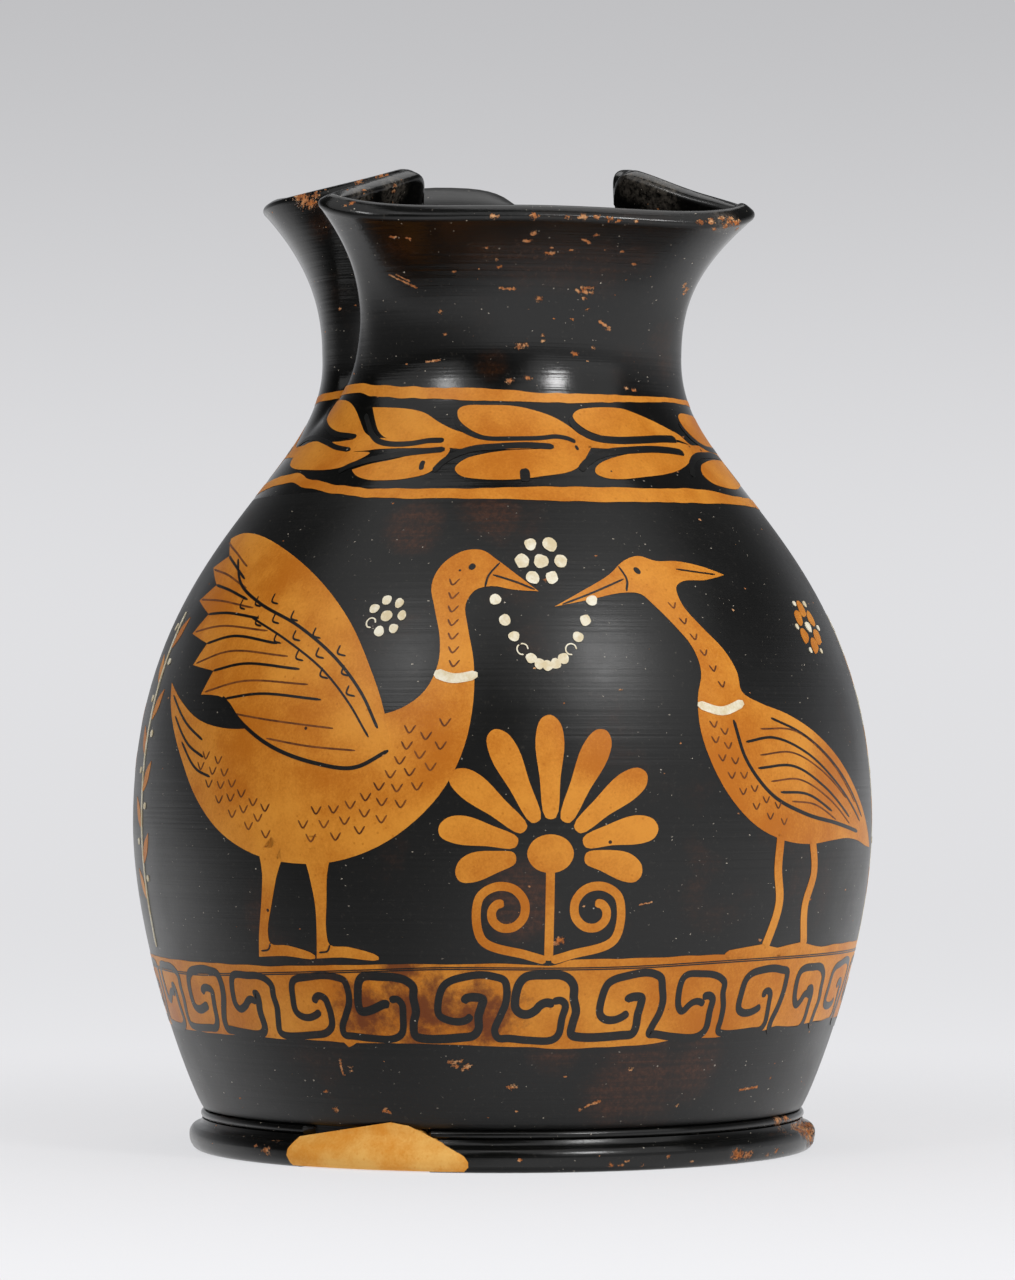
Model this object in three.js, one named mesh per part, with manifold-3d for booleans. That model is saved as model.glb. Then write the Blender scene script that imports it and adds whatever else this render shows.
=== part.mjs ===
// Trefoil-mouthed wine jug (oinochoe) in black-glazed fired clay.
// Millimetres, +Z up. The origin is the centre of the foot's resting plane, on the axis of the wheel.
// The front lobe of the mouth points to -Y and the handle to +Y.

import * as THREE from 'three';
import { mergeVertices } from 'three/addons/utils/BufferGeometryUtils.js';
import Module from 'manifold-3d';

const wasm = await Module();
wasm.setup();

// Foot: a torus moulding on a ring, hollow underneath.
const footHeight = 7.3;
const footRadius = 75.7;
const footSwell = 2.1;
const footSwellHeight = 3.4;
const footStepDrop = 1.7;
const footStepIn = 3.1;
const footRingWidth = 14.7;
const footHoleTaper = 4;
const footEdge = 1;

// Join fillet: a clay coil in the corner between the foot and the body.
const filletHeight = 2.4;
const filletDepth = 3.4;
const filletProud = 0.3;

// Body: the outline is one curve from the foot joint to the belly and one from the belly to the neck.
const joinInset = 0.4;
const joinFlare = 1.5;
const bellyHeight = 78.5;
const bellyRadius = 89.4;
const bellyRunDown = 30;
const bellyRunUp = 67;
const bodyWall = 4.5;
const floorThickness = 6;
const floorRise = 2;
const floorCornerRadius = 10;

// Neck: it narrows to its waist and opens again into the mouth.
const waistHeight = 190;
const waistRadius = 43.2;
const waistRunDown = 28.6;
const seamDrop = 34;
const neckWall = 3.8;
const lipThickness = 4;

// Mouth: how far below or above the waist the pinch starts and is full, the flare starts and the front lip ends.
const pinchDrop = 22;
const pinchRise = 7;
const flareDrop = 1;
const mouthRise = 27.8;

// Key lines of the right half of the mouth, from the middle of the front lobe to the back.
// start, waist and rim are turns from the front in degrees at the shoulder, the waist and the rim.
// bulge and reach are how far the waist and the rim lie outside the waist radius.
// lift is how far the rim stands above the front lip.
const mouthKeys = [
  { start: 0, waist: 0, rim: 0, bulge: 0.6, reach: 15.3, lift: 0 },
  { start: 22, waist: 20, rim: 22.5, bulge: 1, reach: 19.4, lift: -0.8 },
  { start: 42, waist: 38, rim: 37.5, bulge: 2, reach: 26.4, lift: -1.2 },
  { start: 60, waist: 51, rim: 51.6, bulge: 5, reach: 26.8, lift: 3.2 },
  { start: 70, waist: 59, rim: 51.5, bulge: 3.2, reach: 15.2, lift: 7.5 },
  { start: 77, waist: 63.5, rim: 50.2, bulge: -5, reach: -0.2, lift: 12.2 },
  { start: 81, waist: 66.5, rim: 50.5, bulge: -13, reach: -10.2, lift: 15.5 },
  { start: 85, waist: 70.5, rim: 65, bulge: -5, reach: -6.8, lift: 13.5 },
  { start: 92, waist: 79, rim: 86, bulge: 1.4, reach: 4.2, lift: 11 },
  { start: 105, waist: 95, rim: 101, bulge: 0.8, reach: 15.6, lift: 9 },
  { start: 124, waist: 118, rim: 122.2, bulge: 0.2, reach: 19.6, lift: 9 },
  { start: 144, waist: 142, rim: 146.8, bulge: 0, reach: 20, lift: 9.5 },
  { start: 163, waist: 162, rim: 166.2, bulge: 0, reach: 18, lift: 10 },
  { start: 180, waist: 180, rim: 180, bulge: 0, reach: 17, lift: 10 },
];

// Handle: a strap from the back of the lip, over its crown and down to the shoulder.
const handleRootDrop = 49;
const handleCrownRise = 13.5;
const handleStand = 24.5;
const strapThickness = 8.5;
const strapWidthAtLip = 46;
const strapWidthMiddle = 27;
const strapWidthAtRoot = 36;
const strapBite = 5;
const lipWidening = 0.35;
const rootWidening = 0.3;

// Conservation fill: a block set into the foot from the front to the left.
const fillFrom = -51;
const fillTo = -17;
const fillDepth = 8.7;
const fillSlant = 3;
const fillEndEase = 1.3;
const fillProud = 0.3;

// How far a cutting block runs past what it cuts.
const overrun = 1;

// Clearance between pieces whose curved faces meet.
const jointGap = 0.3;

// Facets, and the passes that halve a curve's span.
const wheelSteps = 48;
const wallSteps = 9;
const mouthSamples = 3;
const neckRows = 11;
const strapSteps = 24;
const fillSteps = 8;
const halvings = 40;

// Sizes that follow from those above.
const footBottomRadius = footRadius - footSwell;
const footStepHeight = footHeight - footStepDrop;
const footNeckRadius = footRadius - footStepIn;
const footHoleRadius = footRadius - footRingWidth;
const footHoleTopRadius = footHoleRadius - footHoleTaper;
const filletRadius = footNeckRadius + filletProud;
const filletSeatRadius = filletRadius - filletDepth;
const fillInnerRadius = footRadius - fillDepth;
const joinHeight = footHeight + filletHeight;
const joinRadius = footNeckRadius - joinInset;
const seamHeight = waistHeight - seamDrop;
const pinchStart = waistHeight - pinchDrop;
const pinchFull = waistHeight + pinchRise;
const flareStart = waistHeight - flareDrop;
const rimFoot = waistHeight + mouthRise;
const handleRootHeight = waistHeight - handleRootDrop;

const clayBlack = 0x17140f;
const clayTan = 0xc9924c;

function makeMaterial(color, roughness) {
  return new THREE.MeshStandardMaterial({ color, roughness, metalness: 0 });
}

// Solids

function signedVolume(geometry) {
  const position = geometry.attributes.position;
  const index = geometry.index;
  const a = new THREE.Vector3();
  const b = new THREE.Vector3();
  const c = new THREE.Vector3();
  let total = 0;
  for (let i = 0; i < index.count; i += 3) {
    a.fromBufferAttribute(position, index.getX(i));
    b.fromBufferAttribute(position, index.getX(i + 1));
    c.fromBufferAttribute(position, index.getX(i + 2));
    total += a.dot(b.cross(c));
  }
  return total;
}

// Merges shared corners, drops triangles without area and turns the faces outwards.
function closeGeometry(source) {
  const bare = source.clone();
  bare.deleteAttribute('normal');
  bare.deleteAttribute('uv');
  const merged = mergeVertices(bare, 1e-4);
  const index = merged.index;
  const kept = [];
  for (let i = 0; i < index.count; i += 3) {
    const [a, b, c] = [index.getX(i), index.getX(i + 1), index.getX(i + 2)];
    if (a !== b && b !== c && c !== a) {
      kept.push(a, b, c);
    }
  }
  merged.setIndex(kept);
  if (signedVolume(merged) < 0) {
    for (let i = 0; i < kept.length; i += 3) {
      [kept[i], kept[i + 1]] = [kept[i + 1], kept[i]];
    }
    merged.setIndex(kept);
  }
  return merged;
}

function toSolid(geometry) {
  const closed = closeGeometry(geometry);
  const vertProperties = new Float32Array(closed.attributes.position.array);
  const triVerts = new Uint32Array(closed.index.array);
  return new wasm.Manifold(new wasm.Mesh({ numProp: 3, vertProperties, triVerts }));
}

function toGeometry(solid) {
  const mesh = solid.getMesh();
  const geometry = new THREE.BufferGeometry();
  geometry.setAttribute('position', new THREE.BufferAttribute(new Float32Array(mesh.vertProperties), 3));
  geometry.setIndex(new THREE.BufferAttribute(new Uint32Array(mesh.triVerts), 1));
  return geometry;
}

function makePiece(name, geometry, material) {
  geometry.computeVertexNormals();
  const piece = new THREE.Mesh(geometry, material);
  piece.name = name;
  return piece;
}

// Turns a closed outline of [radius, height] points about the Z axis.
function turnOutline(outline) {
  const points = outline.map(([radius, height]) => new THREE.Vector2(radius, height));
  const geometry = new THREE.LatheGeometry(points, wheelSteps);
  geometry.rotateX(Math.PI / 2);
  return geometry;
}

// Joins rings of equal length, the last one to the first, into a closed skin.
function skinRings(rings) {
  const around = rings[0].length;
  const positions = rings.flat().flatMap((point) => [point.x, point.y, point.z]);
  const index = [];
  for (let row = 0; row < rings.length; row += 1) {
    const next = (row + 1) % rings.length;
    for (let step = 0; step < around; step += 1) {
      const beside = (step + 1) % around;
      const a = row * around + step;
      const b = row * around + beside;
      const c = next * around + beside;
      const d = next * around + step;
      index.push(a, b, c, a, c, d);
    }
  }
  const geometry = new THREE.BufferGeometry();
  geometry.setAttribute('position', new THREE.Float32BufferAttribute(positions, 3));
  geometry.setIndex(index);
  return geometry;
}

// Wall outline of body and neck

const lowerCurve = new THREE.CubicBezierCurve(
  new THREE.Vector2(joinRadius, joinHeight),
  new THREE.Vector2(joinRadius + joinFlare, joinHeight + joinFlare / 2),
  new THREE.Vector2(bellyRadius, bellyHeight - bellyRunDown),
  new THREE.Vector2(bellyRadius, bellyHeight),
);

const upperCurve = new THREE.CubicBezierCurve(
  new THREE.Vector2(bellyRadius, bellyHeight),
  new THREE.Vector2(bellyRadius, bellyHeight + bellyRunUp),
  new THREE.Vector2(waistRadius, waistHeight - waistRunDown),
  new THREE.Vector2(waistRadius, waistHeight),
);

// A point of a wall curve, moved in from the outer face by depth.
function wallPoint(curve, t, depth) {
  const point = curve.getPoint(t);
  const run = curve.getTangent(t);
  return new THREE.Vector2(point.x - run.y * depth, point.y + run.x * depth);
}

// The wall's radius at a height, by halving the curve's span.
function wallRadius(height, depth = 0) {
  const curve = wallPoint(upperCurve, 0, depth).y < height ? upperCurve : lowerCurve;
  let low = 0;
  let high = 1;
  for (let pass = 0; pass < halvings; pass += 1) {
    const middle = (low + high) / 2;
    if (wallPoint(curve, middle, depth).y < height) {
      low = middle;
    } else {
      high = middle;
    }
  }
  return wallPoint(curve, low, depth).x;
}

// Mouth

// One value of the key lines, as a function of the turn round the whole mouth.
// side is 1 for a value that is alike on both sides and -1 for one that changes sign.
function keyRing(values, side) {
  const last = values.length - 1;
  const ring = [...values];
  for (let key = last - 1; key > 0; key -= 1) {
    ring.push(values[key] * side + (side < 0 ? 2 * values[last] : 0));
  }
  return ring;
}

// Uniform cubic B-spline through the ring, where wrap is what one whole turn adds.
function ringValue(ring, place, wrap) {
  const count = ring.length;
  const cell = Math.floor(place);
  const t = place - cell;
  const pick = (shift) => {
    const at = cell + shift;
    const turn = Math.floor(at / count);
    return ring[at - turn * count] + turn * wrap;
  };
  const w0 = (1 - t) ** 3 / 6;
  const w1 = (3 * t ** 3 - 6 * t ** 2 + 4) / 6;
  const w2 = (-3 * t ** 3 + 3 * t ** 2 + 3 * t + 1) / 6;
  const w3 = t ** 3 / 6;
  return w0 * pick(-1) + w1 * pick(0) + w2 * pick(1) + w3 * pick(2);
}

const degrees = Math.PI / 180;
const startTurns = keyRing(mouthKeys.map((key) => key.start), -1);
const waistTurns = keyRing(mouthKeys.map((key) => key.waist), -1);
const bulges = keyRing(mouthKeys.map((key) => key.bulge), 1);
const lifts = keyRing(mouthKeys.map((key) => key.lift), 1);
const rimSide = mouthKeys.map((key) => Math.sin(key.rim * degrees) * (waistRadius + key.reach));
const rimBack = mouthKeys.map((key) => -Math.cos(key.rim * degrees) * (waistRadius + key.reach));
const rimX = keyRing(rimSide, 1).map((value, place) => (place < mouthKeys.length ? value : -value));
const rimY = keyRing(rimBack, 1);
const ringCount = rimX.length;

const smooth = THREE.MathUtils.smoothstep;

// A point of the neck's outer face: place runs round the keys, level from the pinch to the rim.
function neckFace(place, level) {
  const rim = rimFoot + ringValue(lifts, place, 0);
  const height = pinchStart + level * (rim - pinchStart);
  const frontHeight = pinchStart + level * (rimFoot - pinchStart);
  const pinch = smooth(frontHeight, pinchStart, pinchFull);
  const flare = Math.max(0, (frontHeight - flareStart) / (rimFoot - flareStart)) ** 2;
  const start = ringValue(startTurns, place, 360);
  const waist = ringValue(waistTurns, place, 360);
  const turn = THREE.MathUtils.lerp(start, waist, pinch) * degrees;
  const shaft = height < waistHeight ? wallRadius(height) : waistRadius;
  const radius = shaft + pinch * ringValue(bulges, place, 0);
  const x = THREE.MathUtils.lerp(Math.sin(turn) * radius, ringValue(rimX, place, 0), flare);
  const y = THREE.MathUtils.lerp(-Math.cos(turn) * radius, ringValue(rimY, place, 0), flare);
  return new THREE.Vector3(x, y, height);
}

const probe = 0.02;

function neckNormal(place, level) {
  const along = neckFace(place + probe, level).sub(neckFace(place - probe, level));
  const up = neckFace(place, level + probe).sub(neckFace(place, level - probe));
  return along.cross(up).normalize();
}

// A ring of the neck, moved out from its face by offset.
function neckRing(level, offset) {
  const ring = [];
  for (let step = 0; step < ringCount * mouthSamples; step += 1) {
    const place = step / mouthSamples;
    const point = neckFace(place, level);
    ring.push(point.addScaledVector(neckNormal(place, level), offset));
  }
  return ring;
}

// A level ring at a height below the pinch, with its points under those of the neck.
function seamRing(height, radius) {
  const ring = [];
  for (let step = 0; step < ringCount * mouthSamples; step += 1) {
    const turn = ringValue(startTurns, step / mouthSamples, 360) * degrees;
    ring.push(new THREE.Vector3(Math.sin(turn) * radius, -Math.cos(turn) * radius, height));
  }
  return ring;
}

// The round lip, from the outer face over the top to the inner face.
const lipAngles = [30, 90, 150];

function lipRing(angle, offset = 0) {
  const ring = [];
  const radius = lipThickness / 2 + offset;
  for (let step = 0; step < ringCount * mouthSamples; step += 1) {
    const place = step / mouthSamples;
    const normal = neckNormal(place, 1);
    const up = neckFace(place, 1).sub(neckFace(place, 1 - probe)).normalize();
    const point = neckFace(place, 1).addScaledVector(normal, -neckWall / 2);
    point.addScaledVector(normal, Math.cos(angle) * radius);
    point.addScaledVector(up, Math.sin(angle) * radius);
    ring.push(point);
  }
  return ring;
}

function makeNeckSolid() {
  const rings = [];
  const between = (seamHeight + pinchStart) / 2;
  rings.push(seamRing(seamHeight, wallRadius(seamHeight)));
  rings.push(seamRing(between, wallRadius(between)));
  for (let row = 0; row <= neckRows; row += 1) {
    rings.push(neckRing(row / neckRows, 0));
  }
  for (const angle of lipAngles) {
    rings.push(lipRing(angle * degrees));
  }
  for (let row = neckRows; row >= 0; row -= 1) {
    rings.push(neckRing(row / neckRows, -neckWall));
  }
  rings.push(seamRing(seamHeight, wallRadius(seamHeight, neckWall)));
  return toSolid(skinRings(rings));
}

// Body

function makeBodyOutline() {
  const outline = [];
  const floorTop = footHeight + floorRise + floorThickness;
  outline.push([0, footHeight + floorRise]);
  outline.push([footHoleTopRadius, footHeight]);
  outline.push([filletSeatRadius, footHeight]);
  outline.push([filletSeatRadius, joinHeight]);
  for (let step = 0; step < wallSteps; step += 1) {
    const point = lowerCurve.getPoint(step / wallSteps);
    outline.push([point.x, point.y]);
  }
  const outerRise = seamHeight - bellyHeight;
  for (let step = 0; step <= wallSteps; step += 1) {
    const height = bellyHeight + outerRise * Math.sin((step / wallSteps) * Math.PI / 2);
    outline.push([wallRadius(height), height]);
  }
  for (let step = wallSteps; step > 0; step -= 1) {
    const height = bellyHeight + outerRise * Math.sin((step / wallSteps) * Math.PI / 2);
    outline.push([wallRadius(height, bodyWall), height]);
  }
  const cornerTop = floorTop + floorCornerRadius;
  const cornerRadius = wallRadius(cornerTop, bodyWall);
  for (let step = wallSteps; step > 1; step -= 1) {
    const height = cornerTop + (bellyHeight - cornerTop) * (step / wallSteps);
    outline.push([wallRadius(height, bodyWall), height]);
  }
  for (let step = 0; step <= 3; step += 1) {
    const turn = (step / 3) * Math.PI / 2;
    const radius = cornerRadius - floorCornerRadius * (1 - Math.cos(turn));
    outline.push([radius, cornerTop - floorCornerRadius * Math.sin(turn)]);
  }
  outline.push([0, floorTop]);
  return outline;
}

// Foot, fillet and fill

function makeFootOutline() {
  const swell = footRadius - footBottomRadius;
  const stepTurn = 60;
  const outline = [[footHoleRadius + footEdge, 0]];
  for (const turn of [-90, -60, -30, 0]) {
    const height = footSwellHeight * (1 + Math.sin(turn * degrees));
    outline.push([footBottomRadius + swell * Math.cos(turn * degrees), height]);
  }
  for (const turn of [30, stepTurn]) {
    const rise = Math.sin(turn * degrees) / Math.sin(stepTurn * degrees);
    const height = footSwellHeight + (footStepHeight - footSwellHeight) * rise;
    outline.push([footBottomRadius + swell * Math.cos(turn * degrees), height]);
  }
  const stepRadius = footBottomRadius + swell * Math.cos(stepTurn * degrees);
  outline.push([(2 * footNeckRadius + stepRadius) / 3, (footStepHeight + footHeight) / 2]);
  outline.push([footNeckRadius, footHeight]);
  outline.push([footHoleTopRadius, footHeight]);
  outline.push([footHoleRadius, footEdge]);
  return [...outline, outline[0]];
}

function makeFilletOutline() {
  const inner = filletSeatRadius + jointGap;
  const top = joinHeight - jointGap;
  const half = (top - footHeight) / 2;
  const outline = [[inner, footHeight]];
  for (const turn of [-90, -45, 0, 45, 90]) {
    const reach = filletRadius - half + Math.cos(turn * degrees) * half;
    outline.push([reach, footHeight + half + Math.sin(turn * degrees) * half]);
  }
  outline.push([inner, top]);
  return [...outline, outline[0]];
}

function makeFillOutline() {
  const outer = footRadius + fillProud;
  const top = joinHeight - jointGap;
  const inner = fillInnerRadius - overrun;
  const outline = [
    [inner, 0],
    [footBottomRadius, 0],
    [outer, footSwellHeight / 2],
    [outer, footStepHeight],
    [filletRadius + fillProud, top],
    [filletSeatRadius + jointGap, top],
    [filletSeatRadius + jointGap, footHeight - jointGap],
    [inner, footHeight - jointGap],
  ];
  return [...outline, outline[0]];
}

// The space of the fill in plan, with ragged ends, drawn in all round by margin.
function makeFillWedge(margin) {
  const outerRadius = footRadius + fillProud + overrun;
  const inner = fillInnerRadius + margin;
  const at = (radius, turn) => {
    const angle = turn * degrees;
    return new THREE.Vector2(Math.sin(angle) * radius, -Math.cos(angle) * radius);
  };
  const slip = fillEndEase * margin / fillInnerRadius / degrees;
  const points = [];
  const middle = (inner + outerRadius) / 2;
  points.push(at(inner, fillFrom + fillSlant + slip));
  points.push(at(middle, fillFrom + fillSlant / 3 + slip));
  points.push(at(outerRadius, fillFrom + slip));
  for (let step = 1; step < fillSteps; step += 1) {
    points.push(at(outerRadius, fillFrom + (fillTo - fillFrom) * (step / fillSteps)));
  }
  points.push(at(outerRadius, fillTo - slip));
  points.push(at(middle, fillTo - fillSlant - slip));
  points.push(at(inner, fillTo - fillSlant / 2 - slip));
  for (let step = fillSteps - 1; step > 0; step -= 1) {
    const from = fillFrom + fillSlant;
    const to = fillTo - fillSlant / 2;
    points.push(at(inner, from + (to - from) * (step / fillSteps)));
  }
  const geometry = new THREE.ExtrudeGeometry(new THREE.Shape(points), {
    depth: joinHeight + 2 * overrun,
    bevelEnabled: false,
  });
  geometry.translate(0, 0, -overrun);
  return toSolid(geometry);
}

// Handle

// The neck and body as one filled block, grown by the joint gap, that shapes the strap's two ends.
function makeSeatBlock() {
  const rings = [seamRing(seamHeight, wallRadius(seamHeight) + jointGap)];
  for (let row = 0; row <= neckRows; row += 1) {
    rings.push(neckRing(row / neckRows, jointGap));
  }
  for (const angle of lipAngles) {
    rings.push(lipRing(angle * degrees, jointGap));
  }
  const lipTop = rimFoot + mouthKeys[mouthKeys.length - 1].lift + lipThickness / 2;
  const top = new THREE.Vector3(0, 0, lipTop + jointGap);
  rings.push(rings[0].map(() => top.clone()));
  rings.push(rings[0].map(() => new THREE.Vector3(0, 0, seamHeight)));
  const outline = [[0, joinHeight]];
  for (let step = 0; step <= 3 * wallSteps; step += 1) {
    const height = joinHeight + (seamHeight - joinHeight) * (step / (3 * wallSteps));
    outline.push([wallRadius(height) + jointGap, height]);
  }
  outline.push([0, seamHeight]);
  return toSolid(skinRings(rings)).add(toSolid(turnOutline(outline)));
}

// The strap's middle line. Each bend lies at shares of the stand, the crown's rise and the drop to the root.
function makeStrapCurve() {
  const last = mouthKeys[mouthKeys.length - 1];
  const lipY = waistRadius + last.reach;
  const lipZ = rimFoot + last.lift;
  const rootY = wallRadius(handleRootHeight);
  const stretch = lipZ - handleRootHeight;
  const crownZ = lipZ + handleCrownRise - strapThickness / 2;
  const along = [
    [lipY - strapBite * 1.6, lipZ - strapBite * 0.8],
    [lipY - strapBite * 0.3, lipZ + handleCrownRise * 0.04],
    [lipY + handleStand * 0.16, lipZ + handleCrownRise * 0.48],
    [lipY + handleStand * 0.45, crownZ],
    [lipY + handleStand * 0.8, lipZ + handleCrownRise * 0.12],
    [lipY + handleStand * 0.99, lipZ - stretch * 0.22],
    [lipY + handleStand, lipZ - stretch * 0.42],
    [rootY + handleStand * 0.36, handleRootHeight + stretch * 0.27],
    [rootY + handleStand * 0.14, handleRootHeight + stretch * 0.1],
    [rootY - strapBite, handleRootHeight],
  ];
  return new THREE.CatmullRomCurve3(along.map(([y, z]) => new THREE.Vector3(0, y, z)));
}

// Half widths and heights of the strap's section: flat inside, softly arched outside.
const strapSection = [
  [1, 0.1],
  [0.94, 0.5],
  [0.6, 0.86],
  [0, 1],
  [-0.6, 0.86],
  [-0.94, 0.5],
  [-1, 0.1],
  [-0.94, -0.5],
  [-0.6, -0.82],
  [0, -0.86],
  [0.6, -0.82],
  [0.94, -0.5],
];

function makeHandle() {
  const curve = makeStrapCurve();
  const rings = [];
  for (let step = 0; step <= strapSteps; step += 1) {
    const t = step / strapSteps;
    const centre = curve.getPoint(t);
    const run = curve.getTangent(t);
    const out = new THREE.Vector3(0, run.z, -run.y).multiplyScalar(-1);
    const nearLip = Math.max(0, 1 - t / lipWidening) ** 2;
    const nearRoot = Math.max(0, 1 - (1 - t) / rootWidening) ** 2;
    const width = strapWidthMiddle
      + (strapWidthAtLip - strapWidthMiddle) * nearLip
      + (strapWidthAtRoot - strapWidthMiddle) * nearRoot;
    rings.push(strapSection.map(([across, rise]) => {
      const point = centre.clone().addScaledVector(out, rise * strapThickness / 2);
      point.x = across * width / 2;
      return point;
    }));
  }
  const first = rings[0][0].clone().setX(0);
  const end = rings[strapSteps][0].clone().setX(0);
  const closed = [rings[0].map(() => first.clone()), ...rings, rings[0].map(() => end.clone())];
  return toSolid(skinRings(closed)).subtract(makeSeatBlock());
}

// Assembly

const glazed = () => makeMaterial(clayBlack, 0.3);
const wedgeCut = makeFillWedge(0);
const wedgeFill = makeFillWedge(jointGap);

const body = toSolid(turnOutline(makeBodyOutline()));
const foot = toSolid(turnOutline(makeFootOutline())).subtract(wedgeCut);
const fillet = toSolid(turnOutline(makeFilletOutline())).subtract(wedgeCut);
const fill = toSolid(turnOutline(makeFillOutline())).intersect(wedgeFill);

const jug = new THREE.Group();
jug.name = 'oinochoe';
jug.add(
  makePiece('body', toGeometry(body), glazed()),
  makePiece('neck_and_mouth', toGeometry(makeNeckSolid()), glazed()),
  makePiece('foot', toGeometry(foot), glazed()),
  makePiece('join_fillet', toGeometry(fillet), glazed()),
  makePiece('handle', toGeometry(makeHandle()), glazed()),
  makePiece('foot_fill', toGeometry(fill), makeMaterial(clayTan, 0.7)),
);

export default jug;
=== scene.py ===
import math

import bmesh
import bpy
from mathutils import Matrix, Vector, noise
from mathutils.bvhtree import BVHTree


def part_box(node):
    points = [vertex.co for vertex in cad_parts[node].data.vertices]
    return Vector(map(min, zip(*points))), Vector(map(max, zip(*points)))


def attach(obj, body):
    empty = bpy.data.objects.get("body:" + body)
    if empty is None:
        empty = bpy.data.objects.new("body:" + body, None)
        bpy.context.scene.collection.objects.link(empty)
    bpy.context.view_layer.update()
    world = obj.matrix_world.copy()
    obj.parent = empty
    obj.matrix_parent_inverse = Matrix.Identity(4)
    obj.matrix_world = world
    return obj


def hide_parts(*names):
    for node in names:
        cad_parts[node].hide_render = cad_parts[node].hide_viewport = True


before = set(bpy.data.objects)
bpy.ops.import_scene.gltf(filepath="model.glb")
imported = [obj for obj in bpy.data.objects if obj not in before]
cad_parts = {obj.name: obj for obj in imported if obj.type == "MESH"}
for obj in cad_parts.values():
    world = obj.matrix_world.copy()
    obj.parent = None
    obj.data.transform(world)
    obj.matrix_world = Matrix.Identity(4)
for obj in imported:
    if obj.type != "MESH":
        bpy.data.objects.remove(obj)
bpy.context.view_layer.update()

scene = bpy.context.scene
scene.view_settings.view_transform = "Standard"


# Camera. A long lens stands a little over a metre off, level with the belly and tipped up slightly,
# and looks at the jug from eleven degrees to the left of its spout.
camera_heading = math.radians(11)
camera_tilt = math.radians(1.46)
camera = bpy.data.objects.new("camera", bpy.data.cameras.new("camera"))
camera.location = (-0.2081, -1.0771, 0.0945)
camera.rotation_euler = (math.pi / 2 + camera_tilt, 0, -camera_heading)
camera.data.sensor_width = 36
camera.data.lens = 126.98
camera.data.clip_start = 0.05
scene.collection.objects.link(camera)
scene.camera = camera


# Floor and light. The jug stands on a white table that fades into a pale grey room. Two soft boxes, each
# with a brighter core, light it from left and right, and a third hangs above and behind it. The room is
# dark towards the front left.
floor_radius = 2.5
fade_start, fade_end = 0.08, 0.4
floor_clearness = 0.74
floor_white = (0.86, 0.86, 0.87, 1)
backdrop_tint = (0.995, 0.995, 1.02)
dark_corner = (0.9, 0.44, 0)
corner_black = (0.015, 0.015, 0.016, 1)
room_grey = (0.48, 0.485, 0.50, 1)
table_glare = (1.02, 1.02, 1.03, 1)
jug_middle = Vector((0, 0, 0.12))
ground = bmesh.new()
bmesh.ops.create_circle(ground, cap_ends=True, segments=96, radius=floor_radius)
floor_mesh = bpy.data.meshes.new("table")
ground.to_mesh(floor_mesh)
ground.free()
floor = bpy.data.objects.new("table", floor_mesh)
scene.collection.objects.link(floor)


def add_node(tree, kind, inputs=None, **settings):
    """A shader node with its settings and its inputs, each a plain value or another node's output."""
    made = tree.nodes.new("ShaderNode" + kind)
    for setting, value in settings.items():
        setattr(made, setting, value)
    for socket, value in (inputs or {}).items():
        if isinstance(value, bpy.types.NodeSocket):
            tree.links.new(value, made.inputs[socket])
        else:
            made.inputs[socket].default_value = value
    return made


def maths(tree, operation, *values):
    return add_node(tree, "Math", dict(enumerate(values)), operation=operation).outputs[0]


def vectors(tree, operation, *values):
    made = add_node(tree, "VectorMath", dict(enumerate(values)), operation=operation)
    return made.outputs["Value" if operation in ("LENGTH", "DISTANCE", "DOT_PRODUCT") else "Vector"]


def scaled(tree, vector, scale):
    return add_node(tree, "VectorMath", {0: vector, "Scale": scale}, operation="SCALE").outputs[0]


def ramp(tree, value, low, high, out_low=0.0, out_high=1.0):
    """The value's stretch from low to high, mapped smoothly onto another stretch."""
    inputs = {"Value": value, "From Min": low, "From Max": high, "To Min": out_low, "To Max": out_high}
    return add_node(tree, "MapRange", inputs, interpolation_type="SMOOTHSTEP").outputs["Result"]


def blend(tree, share, low, high):
    """A colour between two others."""
    return add_node(tree, "Mix", {0: share, "A": low, "B": high}, data_type="RGBA").outputs["Result"]


table_white = bpy.data.materials.new("table_white")
table_white.use_nodes = True
tree = table_white.node_tree
tree.nodes.clear()
reach = vectors(tree, "LENGTH", add_node(tree, "TexCoord").outputs["Object"])
fade = ramp(tree, reach, fade_start, fade_end, floor_clearness, 1)
paper = add_node(tree, "BsdfDiffuse", {"Color": floor_white}).outputs[0]
clear = add_node(tree, "BsdfTransparent").outputs[0]
both = add_node(tree, "MixShader", {0: fade, 1: paper, 2: clear}).outputs[0]
add_node(tree, "OutputMaterial", {"Surface": both})
floor_mesh.materials.append(table_white)

room = bpy.data.worlds.new("room")
scene.world = room
room.use_nodes = True
tree = room.node_tree
tree.nodes.clear()
ray = add_node(tree, "TexCoord").outputs["Generated"]
rise = add_node(tree, "SeparateXYZ", {0: ray}).outputs["Z"]
backdrop = ramp(tree, rise, 0.02, 0.2, 0.75, 0.51)
table_top = ramp(tree, rise, -0.03, -0.12, 0, 0.16)
seen = scaled(tree, backdrop_tint, maths(tree, "ADD", backdrop, table_top))
from_corner = vectors(tree, "DOT_PRODUCT", ray, dark_corner)
around = blend(tree, ramp(tree, from_corner, -0.95, 0.3), corner_black, room_grey)
walls = scaled(tree, around, ramp(tree, rise, 0.12, 0.5, 1, 0.15))
glare = maths(tree, "MULTIPLY", ramp(tree, rise, 0.14, -0.16), ramp(tree, rise, -0.93, -0.72, 0.05, 1))
glare = maths(tree, "MULTIPLY", glare, ramp(tree, from_corner, -1.0, -0.4, 0.2, 1))
lit = blend(tree, glare, walls, table_glare)
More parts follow.
